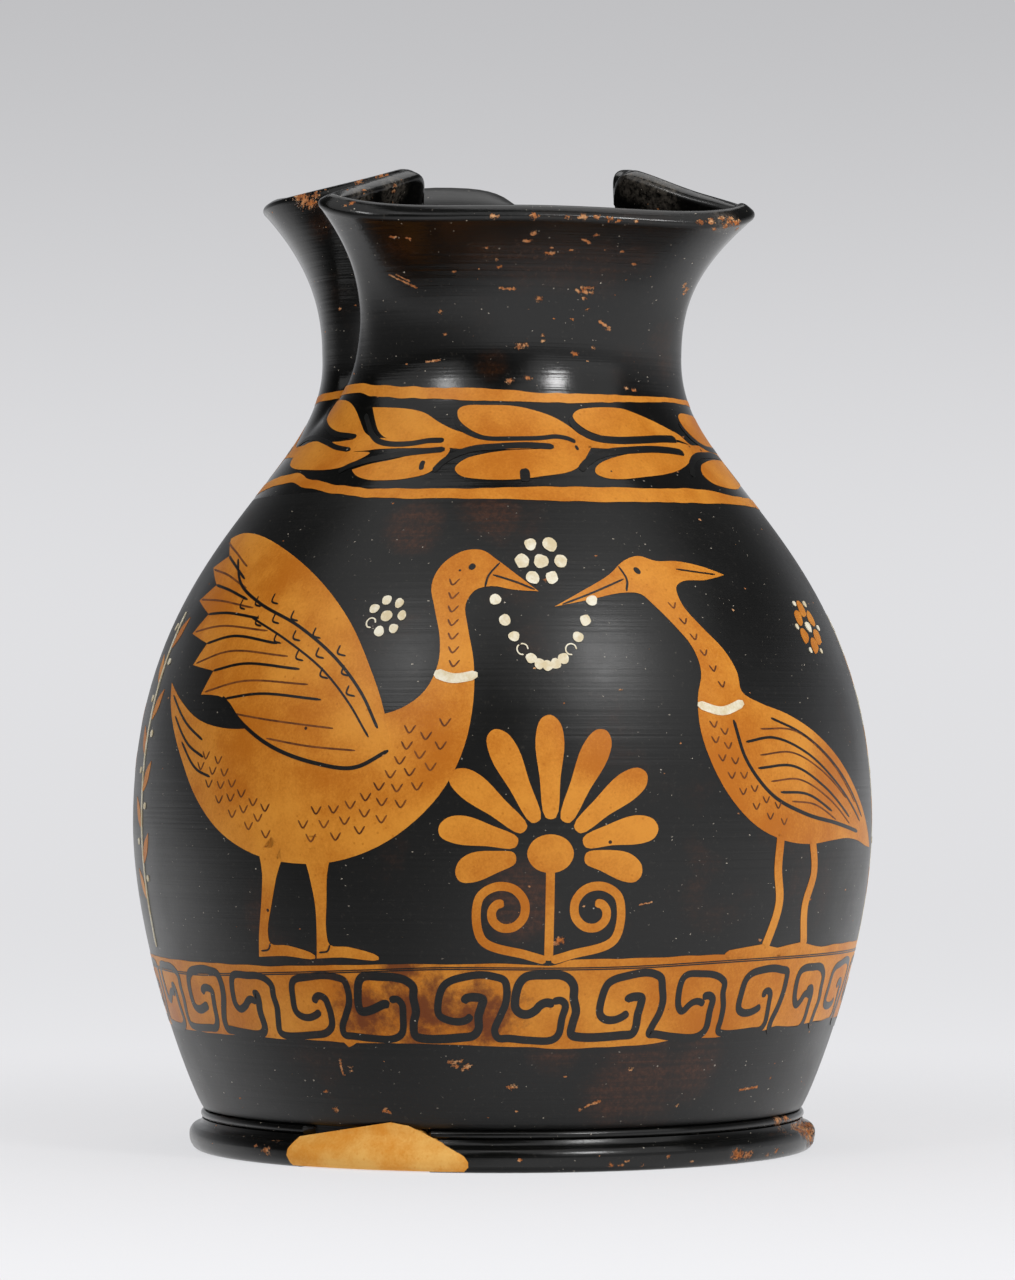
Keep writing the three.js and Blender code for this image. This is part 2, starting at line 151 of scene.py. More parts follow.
direct = add_node(tree, "LightPath").outputs["Is Camera Ray"]
sky = add_node(tree, "Background", {"Color": blend(tree, direct, lit, seen)}).outputs[0]
add_node(tree, "OutputWorld", {"Surface": sky})


def soft_box(name, azimuth, elevation, distance, width, height, watts):
    """A soft box that faces the jug, its azimuth counted from the camera's side of the table."""
    turn = camera_heading + math.radians(azimuth)
    climb = math.radians(elevation)
    lamp = bpy.data.lights.new(name, "AREA")
    lamp.shape = "RECTANGLE"
    lamp.size = width
    lamp.size_y = height
    lamp.energy = watts
    light = bpy.data.objects.new(name, lamp)
    aim = Vector((-math.sin(turn) * math.cos(climb), -math.cos(turn) * math.cos(climb), math.sin(climb)))
    light.location = aim * distance + jug_middle
    light.rotation_euler = aim.to_track_quat("Z", "Y").to_euler()
    scene.collection.objects.link(light)


soft_box("left_soft_box", 48, 44, 1.25, 1.3, 1.5, 4.8)
soft_box("left_lamp_core", 33, 34, 1.3, 0.2, 0.3, 2.3)
soft_box("right_soft_box", -46, 44, 1.25, 1.3, 1.5, 4.8)
soft_box("right_lamp_core", -35, 34, 1.3, 0.18, 0.26, 4.2)
soft_box("top_soft_box", 180, 66, 1.3, 1.2, 0.9, 4)


# Body. Fine orange clay, thrown on the wheel in one piece from the floor to the shoulder, with a wall of
# about 4.5 mm. The neck is thrown apart and luted on at the seam, and black slip then covers both.
mm = 0.001
seam_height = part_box("body")[1].z / mm
belly_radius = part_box("body")[1].x / mm
belly_height = 78.5
join_radius, join_height = 72.2, 9.7
waist_radius, waist_height = 43.2, 190.0
body_wall = 4.5
foot_height = 7.3
foot_hole_radius = 57
seat_radius = 69.5
underside_dish = 2
floor_top = 15.3
floor_corner = 10
wheel_steps = 288
wall_steps = 32
sharp_edge = math.radians(45)
pot_black = (10, 10, 9)
shot_width, shot_height = 1015, 1280
lower_wall = [Vector(knot) for knot in (
    (join_radius, join_height), (join_radius + 1.5, join_height + 0.75),
    (belly_radius, belly_height - 30), (belly_radius, belly_height))]
upper_wall = [Vector(knot) for knot in (
    (belly_radius, belly_height), (belly_radius, belly_height + 67),
    (waist_radius, waist_height - 28.6), (waist_radius, waist_height))]


def wall_point(knots, t, depth=0.0):
    """A point of a wall curve as (radius, height), moved in from the outer face by depth."""
    a, b, c, d = knots
    s = 1 - t
    point = a * s**3 + b * (3 * s * s * t) + c * (3 * s * t * t) + d * t**3
    run = ((b - a) * (s * s) + (c - b) * (2 * s * t) + (d - c) * (t * t)).normalized()
    return point + Vector((-run.y, run.x)) * depth


def wall_radius(height, depth=0.0):
    """The wall's radius at a height, found by halving the curve's span."""
    knots = upper_wall if wall_point(upper_wall, 0, depth).y < height else lower_wall
    low, high = 0.0, 1.0
    for _ in range(30):
        middle = (low + high) / 2
        if wall_point(knots, middle, depth).y < height:
            low = middle
        else:
            high = middle
    return wall_point(knots, low, depth).x


def at_turn(turn, radius, height):
    """The point at a turn from the spout in degrees, and a radius and height in millimetres."""
    angle = math.radians(turn)
    return Vector((math.sin(angle) * radius, -math.cos(angle) * radius, height)) * mm


def throw(outline):
    """An outline of (radius, height) points, spun about the wheel's axis."""
    clay = bmesh.new()
    verts = [clay.verts.new(at_turn(0, radius, height)) for radius, height in outline]
    edges = [clay.edges.new(pair) for pair in zip(verts, verts[1:])]
    bmesh.ops.spin(clay, geom=verts + edges, axis=(0, 0, 1), cent=(0, 0, 0), angle=math.tau,
                   steps=wheel_steps, use_merge=True)
    bmesh.ops.remove_doubles(clay, verts=clay.verts, dist=0.01 * mm)
    bmesh.ops.recalc_face_normals(clay, faces=clay.faces)
    return clay


def fire(name, clay, material):
    """The finished mesh as an object, smooth except at its real edges."""
    mesh = bpy.data.meshes.new(name)
    clay.to_mesh(mesh)
    clay.free()
    mesh.shade_smooth()
    mesh.set_sharp_from_angle(angle=sharp_edge)
    mesh.materials.append(material)
    piece = bpy.data.objects.new(name, mesh)
    scene.collection.objects.link(piece)
    return piece


def add_copy(whole, clay):
    """Adds a copy of one clay to another."""
    mesh = bpy.data.meshes.new("copy")
    clay.to_mesh(mesh)
    whole.from_mesh(mesh)
    bpy.data.meshes.remove(mesh)


def srgb(red, green, blue):
    """A colour as it looks on a screen, 0 to 255, as the linear colour that shaders take."""
    def linear(level):
        share = level / 255
        return share / 12.92 if share <= 0.04045 else ((share + 0.055) / 1.055) ** 2.4
    return (linear(red), linear(green), linear(blue), 1)


def fresh_material(name):
    """A new material, its nodes, and the place on the piece that its patterns follow."""
    material = bpy.data.materials.new(name)
    material.use_nodes = True
    tree = material.node_tree
    return material, tree, add_node(tree, "TexCoord").outputs["Object"]


def coat(tree, colour, height):
    """Gives the shader its colour and its fine relief in millimetres, and hands it back."""
    bump = add_node(tree, "Bump", {"Height": height, "Distance": mm}).outputs[0]
    shader = tree.nodes["Principled BSDF"]
    tree.links.new(colour, shader.inputs["Base Color"])
    tree.links.new(bump, shader.inputs["Normal"])
    return shader


def stretch(tree, place, scale):
    return add_node(tree, "Mapping", {"Vector": place, "Scale": scale}).outputs[0]


def clouds(tree, place, scale, detail, roughness=0.5):
    inputs = {"Vector": place, "Scale": scale, "Detail": detail, "Roughness": roughness}
    return add_node(tree, "TexNoise", inputs).outputs


def pricks(tree, place, scale, rarity, smallest, largest):
    """Small dots strewn over a surface, as 1 in a dot and 0 outside, and three random numbers for each."""
    cells = add_node(tree, "TexVoronoi", {"Vector": place, "Scale": scale})
    picks = add_node(tree, "SeparateColor", {0: cells.outputs["Color"]}).outputs
    size = ramp(tree, picks[1], 0.2, 1.0, smallest, largest)
    dot = maths(tree, "LESS_THAN", cells.outputs["Distance"], size)
    return maths(tree, "MULTIPLY", dot, maths(tree, "GREATER_THAN", picks[0], rarity)), picks


def seen_at(tree, x, y):
    """The point of a piece that the camera sees at a pixel of its shot, counted from the top left."""
    pixel_focus = camera.data.lens / camera.data.sensor_width * shot_height
    aim = Vector(((x - shot_width / 2) / pixel_focus, (shot_height / 2 - y) / pixel_focus, -1))
    aim.rotate(camera.rotation_euler)
    return tree.ray_cast(camera.location, aim)[0]


def seen_spots(tree, pixels):
    """Spots on a piece, each a pixel and a reach in millimetres."""
    return [(seen_at(tree, x, y), reach) for x, y, reach in pixels]


def seen_scratches(tree, pixels):
    """Scratches on a piece, each the pixels of its two ends and a reach in millimetres."""
    return [(seen_at(tree, x, y), seen_at(tree, end_x, end_y), reach) for x, y, end_x, end_y, reach in pixels]


def nearest_spot(tree, place, spots, flat=1.0):
    """How far off the nearest spot is, as a share of its reach. Above 1, flat makes the spots flatter."""
    nearest = 9.0
    squeeze = Vector((1, 1, flat))
    place = stretch(tree, place, squeeze)
    for point, reach in spots:
        away = vectors(tree, "DISTANCE", place, point * squeeze)
        nearest = maths(tree, "MINIMUM", maths(tree, "MULTIPLY", away, 1 / (reach * mm)), nearest)
    return nearest


def nearest_scratch(tree, place, scratches):
    """The same for scratches."""
    nearest = 9.0
    for start, end, reach in scratches:
        run = end - start
        off = vectors(tree, "SUBTRACT", place, start)
        along = vectors(tree, "DOT_PRODUCT", off, run / run.length_squared)
        held = add_node(tree, "Clamp", {"Value": along}).outputs[0]
        away = vectors(tree, "DISTANCE", off, scaled(tree, run, held))
        nearest = maths(tree, "MINIMUM", maths(tree, "MULTIPLY", away, 1 / (reach * mm)), nearest)
    return nearest


def black_slip(name, scars=(), scratches=(), rubs_and_sheen=(), mottles=(), gloss=(0.32, 0.40), burn=(74, 38, 16)):
    """Near-black slip fired to a gloss: lined by the wheel, strewn with fine grit and pricked through to the
    clay. Scars and scratches show the clay, rubbed places are dense with pricks and hazed grey, partly by
    scuffing and partly as painted sheen, and mottles fired brown."""
    material, tree, place = fresh_material(name)
    cloud = clouds(tree, place, 30, 5, 0.6)[0]
    grain = clouds(tree, place, 900, 4, 0.7)[0]
    ragged = clouds(tree, place, 1500, 4, 0.8)
    lines = clouds(tree, stretch(tree, place, (9, 9, 1100)), 1, 3, 0.6)[0]
    ridges = clouds(tree, stretch(tree, place, (5, 5, 300)), 1, 3)[0]

    burnt = maths(tree, "MULTIPLY_ADD", cloud, 2.2, nearest_spot(tree, place, mottles))
    thin = maths(tree, "MAXIMUM", ramp(tree, burnt, 1.4, 2.2, 1, 0), ramp(tree, cloud, 0.56, 0.78, 0, 0.7))
    streaks = ramp(tree, lines, 0.30, 0.72, 0.35, 1)
    streaks = maths(tree, "MULTIPLY", streaks, ramp(tree, grain, 0.35, 0.65, 0.3, 1))
    slip = blend(tree, maths(tree, "MULTIPLY", thin, streaks), srgb(*pot_black), srgb(*burn))

    dust_and_sheen = ramp(tree, grain, 0.56, 0.80, 0, 0.12)
    rarity = 0.97
    # Rubbed places get more clay pricks and a grey haze: partly real scuffing, partly painted sheen on the
    # inner walls of the folds.
    if rubs_and_sheen:
        worn_and_sheen = ramp(tree, nearest_spot(tree, place, rubs_and_sheen), 0.3, 1.0, 1, 0)
        rarity = maths(tree, "MULTIPLY_ADD", worn_and_sheen, -0.6, 0.96)
        scuff_and_sheen = maths(tree, "MULTIPLY", worn_and_sheen, ramp(tree, grain, 0.35, 0.7, 0, 0.5))
        dust_and_sheen = maths(tree, "MAXIMUM", scuff_and_sheen, dust_and_sheen)
    # Grey: fine grit all over, and at the rubbed places also painted sheen.
    dusted_and_sheened = blend(tree, dust_and_sheen, slip, srgb(120, 112, 102))
    shaken = vectors(tree, "MULTIPLY_ADD", ragged["Color"], (0.0009, 0.0009, 0.0009), place)
    shaken = stretch(tree, shaken, (1, 1, 1.8))
    pit, picks = pricks(tree, shaken, 480, rarity, 0.04, 0.18)
    dust, dust_picks = pricks(tree, shaken, 1150, 0.955, 0.12, 0.26)

    marks = nearest_spot(tree, place, scars, 1.5)
    marks = maths(tree, "MINIMUM", marks, nearest_scratch(tree, place, scratches))
    edge = maths(tree, "MULTIPLY_ADD", ragged[0], 6, marks)
    pit = maths(tree, "MAXIMUM", ramp(tree, edge, 3.7, 3.9, 1, 0), pit)
    clay = blend(tree, picks[2], srgb(196, 112, 44), srgb(218, 168, 120))
    grit = blend(tree, ramp(tree, grain, 0.35, 0.6), srgb(134, 74, 30), clay)
    pale = blend(tree, dust_picks[2], srgb(90, 84, 78), srgb(196, 186, 170))
    colour = blend(tree, pit, blend(tree, dust, dusted_and_sheened, pale), grit)

    height = 0.0
    for layer, rise in ((lines, 0.055), (ridges, 0.08), (grain, 0.02), (pit, -0.12)):
        height = maths(tree, "MULTIPLY_ADD", layer, rise, height)
    shader = coat(tree, colour, height)
    dull = add_node(tree, "Mix", {0: pit, 2: ramp(tree, cloud, 0.35, 0.65, *gloss), 3: 0.75}).outputs[0]
    tree.links.new(dull, shader.inputs["Roughness"])
    shader.inputs["IOR"].default_value = 1.46
    return material


outer_rise = seam_height - belly_height
shoulder_heights = [belly_height + outer_rise * math.sin(step / wall_steps * math.pi / 2)
                    for step in range(wall_steps + 1)]
body_outline = [(0, foot_height + underside_dish), (foot_hole_radius, foot_height)]
body_outline += [(seat_radius, foot_height), (seat_radius, join_height)]
body_outline += [tuple(wall_point(lower_wall, step / wall_steps)) for step in range(wall_steps)]
body_outline += [(wall_radius(height), height) for height in shoulder_heights]
body_outline += [(wall_radius(height, body_wall), height) for height in reversed(shoulder_heights)]
corner_top = floor_top + floor_corner
corner_radius = wall_radius(corner_top, body_wall)
for step in range(15, 0, -1):
    height = corner_top + (belly_height - corner_top) * step / 16
    body_outline.append((wall_radius(height, body_wall), height))
for step in range(9):
    turn = step / 8 * math.pi / 2
    body_outline.append((corner_radius - floor_corner * (1 - math.cos(turn)),
                         corner_top - floor_corner * math.sin(turn)))
body_outline.append((0, floor_top))
body_clay = throw(body_outline)
wall_skin = bmesh.new()
add_copy(wall_skin, body_clay)

# Marks on the body: chips, scratches and places that fired brown.
body_chips = [(454, 1063, 0.9), (456, 1066, 0.8), (467, 1068, 0.7), (512, 1087, 1.0), (351, 1067, 0.6),
              (351, 1071, 0.5), (326, 1091, 0.6), (336, 1110, 0.8), (385, 1110, 0.7), (388, 1112, 0.6),
              (631, 1069, 0.6), (580, 1110, 0.6), (677, 1106, 0.5), (770, 1078, 0.5), (560, 940, 1.1),
              (556, 943, 0.9), (240, 1098, 0.5), (810, 900, 0.6), (545, 580, 0.6), (700, 520, 0.5),
              (410, 760, 0.5), (620, 690, 0.4), (760, 940, 0.5)]
body_scratches = [
    (449, 1062, 461, 1061, 0.4), (463, 1070, 469, 1065, 0.5), (585, 1107, 600, 1101, 0.3),
    (740, 1090, 757, 1087, 0.3), (340, 1060, 343, 1074, 0.3), (470, 560, 478, 575, 0.25),
    (640, 905, 652, 902, 0.2)]
body_mottles = [(640, 1075, 16), (610, 1095, 10), (690, 1070, 10), (560, 1045, 8), (520, 905, 9),
                (500, 520, 9), (415, 530, 7)]
body_tree = BVHTree.FromBMesh(body_clay)
body = fire("thrown_body", body_clay, black_slip(
    "gloss_on_body", seen_spots(body_tree, body_chips), seen_scratches(body_tree, body_scratches),
    mottles=seen_spots(body_tree, body_mottles)))
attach(body, "root")
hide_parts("body")


# Neck and mouth. A thrown collar, its rim folded by hand while soft into a trefoil: a broad front lobe
# that pours, two deep folds that pinch it, and a high back lobe that carries the handle.
neck_wall = 3.8
lip_rise = 2.0
lip_width = 5.0
lip_sink = 0.1
lip_square = 0.65
fold_rounding = 6.5
fold_rise = 1.2
fold_rise_near, fold_rise_far = 6, 24
fold_line = 6
pinch_start, pinch_full = 168.0, 197.0
flare_start = 189.0
rim_foot = waist_height + 27.8
around_steps = 416
neck_levels = 44
lip_steps = 12
# Half of the mouth, from the front of the spout to the back: turn where a line starts on the shoulder,
# turn at the waist, turn at the rim, bulge at the waist, reach at the rim past the waist, lift of the rim.
mouth_lines = [
    (0, 0, 0, 0.6, 15.3, 0),
    (22, 20, 22.5, 1, 19.4, -0.8),
    (42, 38, 37.5, 2, 26.4, -1.2),
    (60, 51, 51.6, 5, 26.8, 3.2),
    (70, 59, 51.5, 3.2, 15.2, 7.5),
    (77, 63.5, 50.2, -5, -0.2, 12.2),
    (81, 66.5, 50.5, -13, -10.2, 15.5),
    (85, 70.5, 65, -5, -6.8, 13.5),
    (92, 79, 86, 1.4, 4.2, 11),
    (105, 95, 101, 0.8, 15.6, 9),
    (124, 118, 122.2, 0.2, 19.6, 9),
    (144, 142, 146.8, 0, 20, 9.5),
    (163, 162, 166.2, 0, 18, 10),
    (180, 180, 180, 0, 17, 10),
]


def whole_ring(values, side=1, lap=0):
    """Half a ring's values with the other half added: the same, swapped in side, or counted on to a lap."""
    return values + [lap + side * value for value in reversed(values[1:-1])]


rim_points = [at_turn(line[2], waist_radius + line[4], 0) / mm for line in mouth_lines]
start_ring = whole_ring([line[0] for line in mouth_lines], -1, 360)
waist_ring = whole_ring([line[1] for line in mouth_lines], -1, 360)
bulge_ring = whole_ring([line[3] for line in mouth_lines])
lift_ring = whole_ring([line[5] for line in mouth_lines])
rim_x_ring = whole_ring([point.x for point in rim_points], -1)
rim_y_ring = whole_ring([point.y for point in rim_points])


def ring_value(ring, place, lap=0.0):
    """A smooth value between the ring's lines, where lap is what one whole turn adds."""
    cell = math.floor(place)
    t = place - cell
    weights = ((1 - t)**3, 3 * t**3 - 6 * t * t + 4, -3 * t**3 + 3 * t * t + 3 * t + 1, t**3)
    total = 0.0
    for step, weight in enumerate(weights):
        laps, index = divmod(cell - 1 + step, len(ring))
        total += weight * (ring[index] + laps * lap) / 6
    return total


def smooth_share(value, low, high):
    share = min(1.0, max(0.0, (value - low) / (high - low)))
    return share * share * (3 - 2 * share)


def neck_face(place, level):
    """A point of the neck's outer face in millimetres: place runs round, level from fold to rim."""
    height = pinch_start + level * (rim_foot + ring_value(lift_ring, place) - pinch_start)
    front_height = pinch_start + level * (rim_foot - pinch_start)
    pinch = smooth_share(front_height, pinch_start, pinch_full)
    flare = max(0.0, (front_height - flare_start) / (rim_foot - flare_start)) ** 2
    start = ring_value(start_ring, place, 360)
    turn = start + (ring_value(waist_ring, place, 360) - start) * pinch
    shaft = wall_radius(height) if height < waist_height else waist_radius
    point = at_turn(turn, shaft + pinch * ring_value(bulge_ring, place), height) / mm
    point.x += (ring_value(rim_x_ring, place) - point.x) * flare
    point.y += (ring_value(rim_y_ring, place) - point.y) * flare
    return point


def neck_normal(place, level):
    probe = 0.02
    along = neck_face(place + probe, level) - neck_face(place - probe, level)
    up = neck_face(place, level + probe) - neck_face(place, level - probe)
    return along.cross(up).normalized()


def lip_point(place, angle):
    """A point of the lip, its angle in degrees from the outer face over the top to the inner face."""
    normal = neck_normal(place, 1)
    up = (neck_face(place, 1) - neck_face(place, 0.98)).normalized()
    turn = math.radians(angle)
    across = math.copysign(abs(math.cos(turn)) ** lip_square, math.cos(turn))
    across *= lip_rise if angle < 90 else lip_width - lip_rise
    rise = lip_rise * math.sin(turn) ** lip_square
    return neck_face(place, 1) + normal * (across - lip_rise + lip_sink) + up * rise


def inner_face(place, level):
    """A point of the neck's inner face, where the wall thickens towards the lip."""
    depth = neck_wall + (lip_width - neck_wall - lip_sink) * smooth_share(level, 0.7, 1)
    return neck_face(place, level) - neck_normal(place, level) * depth


def shoulder_row(height, depth):
    """A level row of the collar's foot, where it follows the body's wall."""
    return lambda place: at_turn(ring_value(start_ring, place, 360), wall_radius(height, depth), height) / mm


# The collar's skin, row by row: up the outside from the seam, over the lip and down the inside.
rows = [shoulder_row(height, 0) for height in (seam_height, 160, 164)]
for step in range(neck_levels + 1):
    rows.append(lambda place, level=step / neck_levels: neck_face(place, level))
for step in range(1, lip_steps):
    rows.append(lambda place, angle=180 * step / lip_steps: lip_point(place, angle))
for step in range(neck_levels, -1, -2):
    rows.append(lambda place, level=step / neck_levels: inner_face(place, level))
rows += [shoulder_row(height, neck_wall) for height in (162, seam_height)]
neck_clay = bmesh.new()
bmesh.ops.create_grid(neck_clay, x_segments=around_steps, y_segments=len(rows), size=1)
fold_tips = [inner_face(place, 1).xy for place in (fold_line, len(start_ring) - fold_line)]
for vert in neck_clay.verts:
    around = round((vert.co.x + 1) / 2 * around_steps) % around_steps
    row = round((vert.co.y + 1) / 2 * len(rows)) % len(rows)
    point = rows[row](around / around_steps * len(start_ring))
    to_tip = min((point.xy - tip).length for tip in fold_tips)
    short = min(fold_rounding, max(0.0, fold_rounding - to_tip))
    drop = fold_rounding - math.sqrt(fold_rounding**2 - short**2)
    if point.x > 0:
        drop -= fold_rise * smooth_share(to_tip, fold_rise_far, fold_rise_near)
    point.z -= drop * smooth_share(point.z, rim_foot - 8, rim_foot + 10)
    vert.co = point * mm
bmesh.ops.remove_doubles(neck_clay, verts=neck_clay.verts, dist=0.005 * mm)
bmesh.ops.recalc_face_normals(neck_clay, faces=neck_clay.faces)
add_copy(wall_skin, neck_clay)
wall_tree = BVHTree.FromBMesh(wall_skin)

# Marks on the neck: chips, scratches, places rubbed thin, which inside the folds also carry a painted sheen,
# and places that fired brown.
neck_chips = [(300, 196, 2.2), (305, 200, 2.4), (311, 203, 1.9), (316, 195, 1.2), (539, 299, 0.9),
              (584, 298, 0.6), (520, 346, 1.0), (524, 345, 0.8), (543, 335, 0.5), (543, 341, 0.5),
              (574, 353, 0.8), (605, 325, 0.6), (608, 329, 0.5), (593, 348, 0.5), (509, 381, 0.8),
              (528, 378, 0.8), (626, 388, 0.6), (634, 390, 0.6), (685, 285, 0.9), (686, 290, 0.9),
              (684, 294, 0.6), (534, 233, 0.8), (596, 235, 0.6), (622, 252, 0.5), (551, 248, 0.4),
              (486, 248, 0.5), (497, 260, 0.5), (500, 267, 0.5), (454, 272, 0.5), (571, 250, 0.4),
              (440, 312, 0.6), (445, 334, 0.4), (572, 319, 0.5), (587, 309, 0.5), (340, 309, 0.5),
              (634, 264, 0.5), (711, 221, 1.0), (722, 218, 1.0), (731, 220, 1.4), (737, 223, 1.2),
              (726, 226, 1.1), (700, 222, 0.9), (714, 229, 0.7), (737, 229, 0.6), (494, 216, 0.9),
              (534, 216, 1.0), (568, 217, 0.8), (583, 217, 1.0), (597, 217, 0.8), (610, 219, 0.9),
              (618, 221, 0.7), (637, 221, 0.5), (359, 182, 1.2), (381, 177, 1.4), (386, 176, 0.9),
              (352, 203, 0.8), (345, 206, 0.6), (394, 191, 0.7), (364, 190, 0.7), (395, 186, 0.7)]
neck_scratches = [
    (390, 275, 417, 288, 0.3), (397, 275, 409, 281, 0.25), (500, 288, 514, 289, 0.35),
    (582, 288, 593, 288, 0.4), (583, 292, 592, 293, 0.45), (576, 290, 580, 292, 0.35),
    (546, 253, 554, 253, 0.4), (524, 241, 531, 241, 0.4), (426, 362, 440, 360, 0.25),
    (391, 237, 396, 237, 0.4), (407, 238, 410, 239, 0.4), (600, 322, 610, 329, 0.4),
    (584, 240, 590, 243, 0.4)]
neck_rubs_and_sheen = [(726, 223, 5), (657, 196, 8), (645, 190, 6), (630, 186, 5), (665, 188, 5), (395, 190, 6),
             (362, 194, 5)]
neck_mottles = [(490, 255, 8), (525, 258, 9), (560, 262, 9), (600, 262, 9), (635, 255, 7), (492, 366, 5),
                (662, 345, 6), (665, 365, 6), (400, 246, 5), (320, 225, 6)]
neck_tree = BVHTree.FromBMesh(neck_clay)
neck = fire("neck_and_trefoil_mouth", neck_clay, black_slip(
    "gloss_on_neck", seen_spots(neck_tree, neck_chips), seen_scratches(neck_tree, neck_scratches),
    seen_spots(neck_tree, neck_rubs_and_sheen), seen_spots(neck_tree, neck_mottles), (0.13, 0.21), (48, 26, 11)))
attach(neck, "root")
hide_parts("neck_and_mouth")


# Foot. A ring thrown apart, with a swelling edge and a step up to the body, stuck on with slip. A piece of
# its edge is lost at the front left, where plaster stands in, and its right edge is chipped to the clay.
foot_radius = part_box("foot")[1].x / mm
edge_roundness = 2.1
foot_bottom_radius = foot_radius - edge_roundness
foot_neck_radius = foot_radius - 3.1
foot_inner_radius = 61
swell_height = 3.4
swell_shoulder, shoulder_turn = 2.2, math.radians(60)
loss_from, loss_to = -49.0, -24.0
loss_radius = 67.6
blow_depth, blow_unevenness = 0.5, 0.35
foot_gloss = (0.16, 0.24)
foot_outline = [(foot_inner_radius + 1, 0)]
for step in range(9):
    turn = math.radians(-90 + 90 * step / 8)
    foot_outline.append((foot_bottom_radius + edge_roundness * math.cos(turn),
                         swell_height * (1 + math.sin(turn))))
for step in range(1, 7):
    turn = shoulder_turn * step / 6
    rise = swell_shoulder * math.sin(turn) / math.sin(shoulder_turn)
    foot_outline.append((foot_bottom_radius + edge_roundness * math.cos(turn), swell_height + rise))
foot_outline += [(foot_neck_radius + 0.7, 5.9), (foot_neck_radius + 0.25, 6.5)]
foot_outline += [(foot_neck_radius, foot_height), (foot_hole_radius, foot_height)]
foot_outline += [(foot_inner_radius, 1), foot_outline[0]]
foot_clay = throw(foot_outline)
# Places where the edge is struck off: turn, height and how far the blow reached.
foot_blows = [(65, 5.0, 4.2), (70, 4.4, 4.4), (75, 5.2, 3.6), (60.5, 6.0, 2.6), (35, 2.4, 1.8),
              (38, 2.0, 1.4), (53, 7.4, 2.2)]
foot_chips = [(-57, 3.2, 1.2), (-55, 6.4, 1.4), (-61, 6.6, 1.3), (-60, 4.1, 0.6), (8, 1.6, 0.7),
              (10, 1.4, 0.8), (11, 2.4, 0.5), (14, 1.2, 0.7), (-8, 3.1, 0.5), (19, 3.0, 0.5), (24, 1.5, 0.6),
              (44, 1.4, 0.7), (47, 2.2, 0.9), (50, 1.2, 0.6)]


def turn_and_radius(point):
    return math.degrees(math.atan2(point.x, -point.y)), math.hypot(point.x, point.y) / mm


def round_spot(turn, radius, height, reach):
    """A spot on the slip, at a turn, radius and height."""
    return at_turn(turn, radius, height), reach


for vert in foot_clay.verts:
    turn, radius = turn_and_radius(vert.co)
    if loss_from < turn < loss_to:
        radius = min(radius, loss_radius)
    for blow_turn, blow_height, reach in foot_blows:
        away = (vert.co - at_turn(blow_turn, foot_radius, blow_height)).length / mm
        if away < reach:
            uneven = noise.noise(vert.co * 700) * blow_unevenness
            radius -= blow_depth * reach * max(0.0, 1 - away / reach + uneven)
    vert.co = at_turn(turn, radius, vert.co.z / mm)
foot_scars = [round_spot(turn, foot_radius - 0.3 * reach, height, reach * 1.05)
              for turn, height, reach in foot_blows]
foot_scars += [round_spot(turn, foot_radius, height, reach) for turn, height, reach in foot_chips]
foot = fire("foot_ring", foot_clay, black_slip("gloss_on_foot", foot_scars, gloss=foot_gloss))
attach(foot, "root")
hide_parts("foot")


# Join roll. A thin coil of clay pressed round the joint of foot and body and turned smooth, so that a fine
# raised line runs between two grooves.
roll_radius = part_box("join_fillet")[1].x / mm
roll_foot = foot_height + 0.05
roll_half = 1.02
roll_back = seat_radius + 0.3
roll_loss_radius = seat_radius + 0.6
roll_outline = [(roll_back, roll_foot)]
for step in range(13):
    turn = math.radians(-90 + 180 * step / 12)
    roll_outline.append((roll_radius - roll_half + math.cos(turn) * roll_half,
                         roll_foot + roll_half * (1 + math.sin(turn))))
roll_outline += [(roll_back, roll_foot + 2 * roll_half), roll_outline[0]]
roll_clay = throw(roll_outline)
for vert in roll_clay.verts:
    turn, radius = turn_and_radius(vert.co)
    if loss_from < turn < loss_to:
        vert.co = at_turn(turn, min(radius, roll_loss_radius), vert.co.z / mm)
roll_scars = [round_spot(52, roll_radius, 8.6, 1.8), round_spot(56, roll_radius, 8.8, 1.4)]
roll = fire("join_roll", roll_clay, black_slip("gloss_on_join_roll", roll_scars, gloss=foot_gloss))
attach(roll, "root")
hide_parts("join_fillet")


# Foot fill. The lost piece of the foot is made up in plaster, tinted tan and rubbed smooth a hair proud of
# the ring, with a ragged top edge that runs over the join and onto the body.
fill_edge = [
    (-51.0, 0.3), (-51.7, 2.7), (-51.5, 4.0), (-50.6, 5.8), (-50.0, 7.0), (-49.4, 6.9), (-48.0, 7.4),
    (-46.5, 7.6), (-44.0, 7.9), (-42.6, 7.8), (-41.5, 8.2), (-38.0, 8.1), (-36.5, 9.3), (-35.6, 8.9),
    (-34.0, 9.7), (-32.0, 10.3), (-31.2, 11.1), (-30.6, 10.7), (-29.5, 10.6), (-28.0, 10.4), (-26.6, 9.5),
    (-25.7, 9.2), (-24.9, 8.4), (-24.5, 7.8), (-23.0, 7.6), (-22.4, 7.1), (-21.8, 6.8), (-20.8, 5.8),
    (-21.4, 5.4), (-20.0, 5.1), (-18.5, 4.7), (-17.5, 3.9), (-16.8, 2.6), (-16.8, 1.4), (-17.6, 0.3)]
fill_profile = [(0, 74.3), (0.9, 75.4), (2.6, 75.95), (4.4, 75.9), (5.7, 75.1), (6.8, 74.0), (8.2, 73.3),
                (12, 73.3)]
fill_unevenness = 0.15
fill_on_body = 0.3


def between(points, value):
    """The second value at a first one, along straight stretches between the points."""
    for (low, at_low), (high, at_high) in zip(points, points[1:]):
        if value <= high:
            return at_low + (at_high - at_low) * max(0.0, (value - low) / (high - low))
    return points[-1][1]


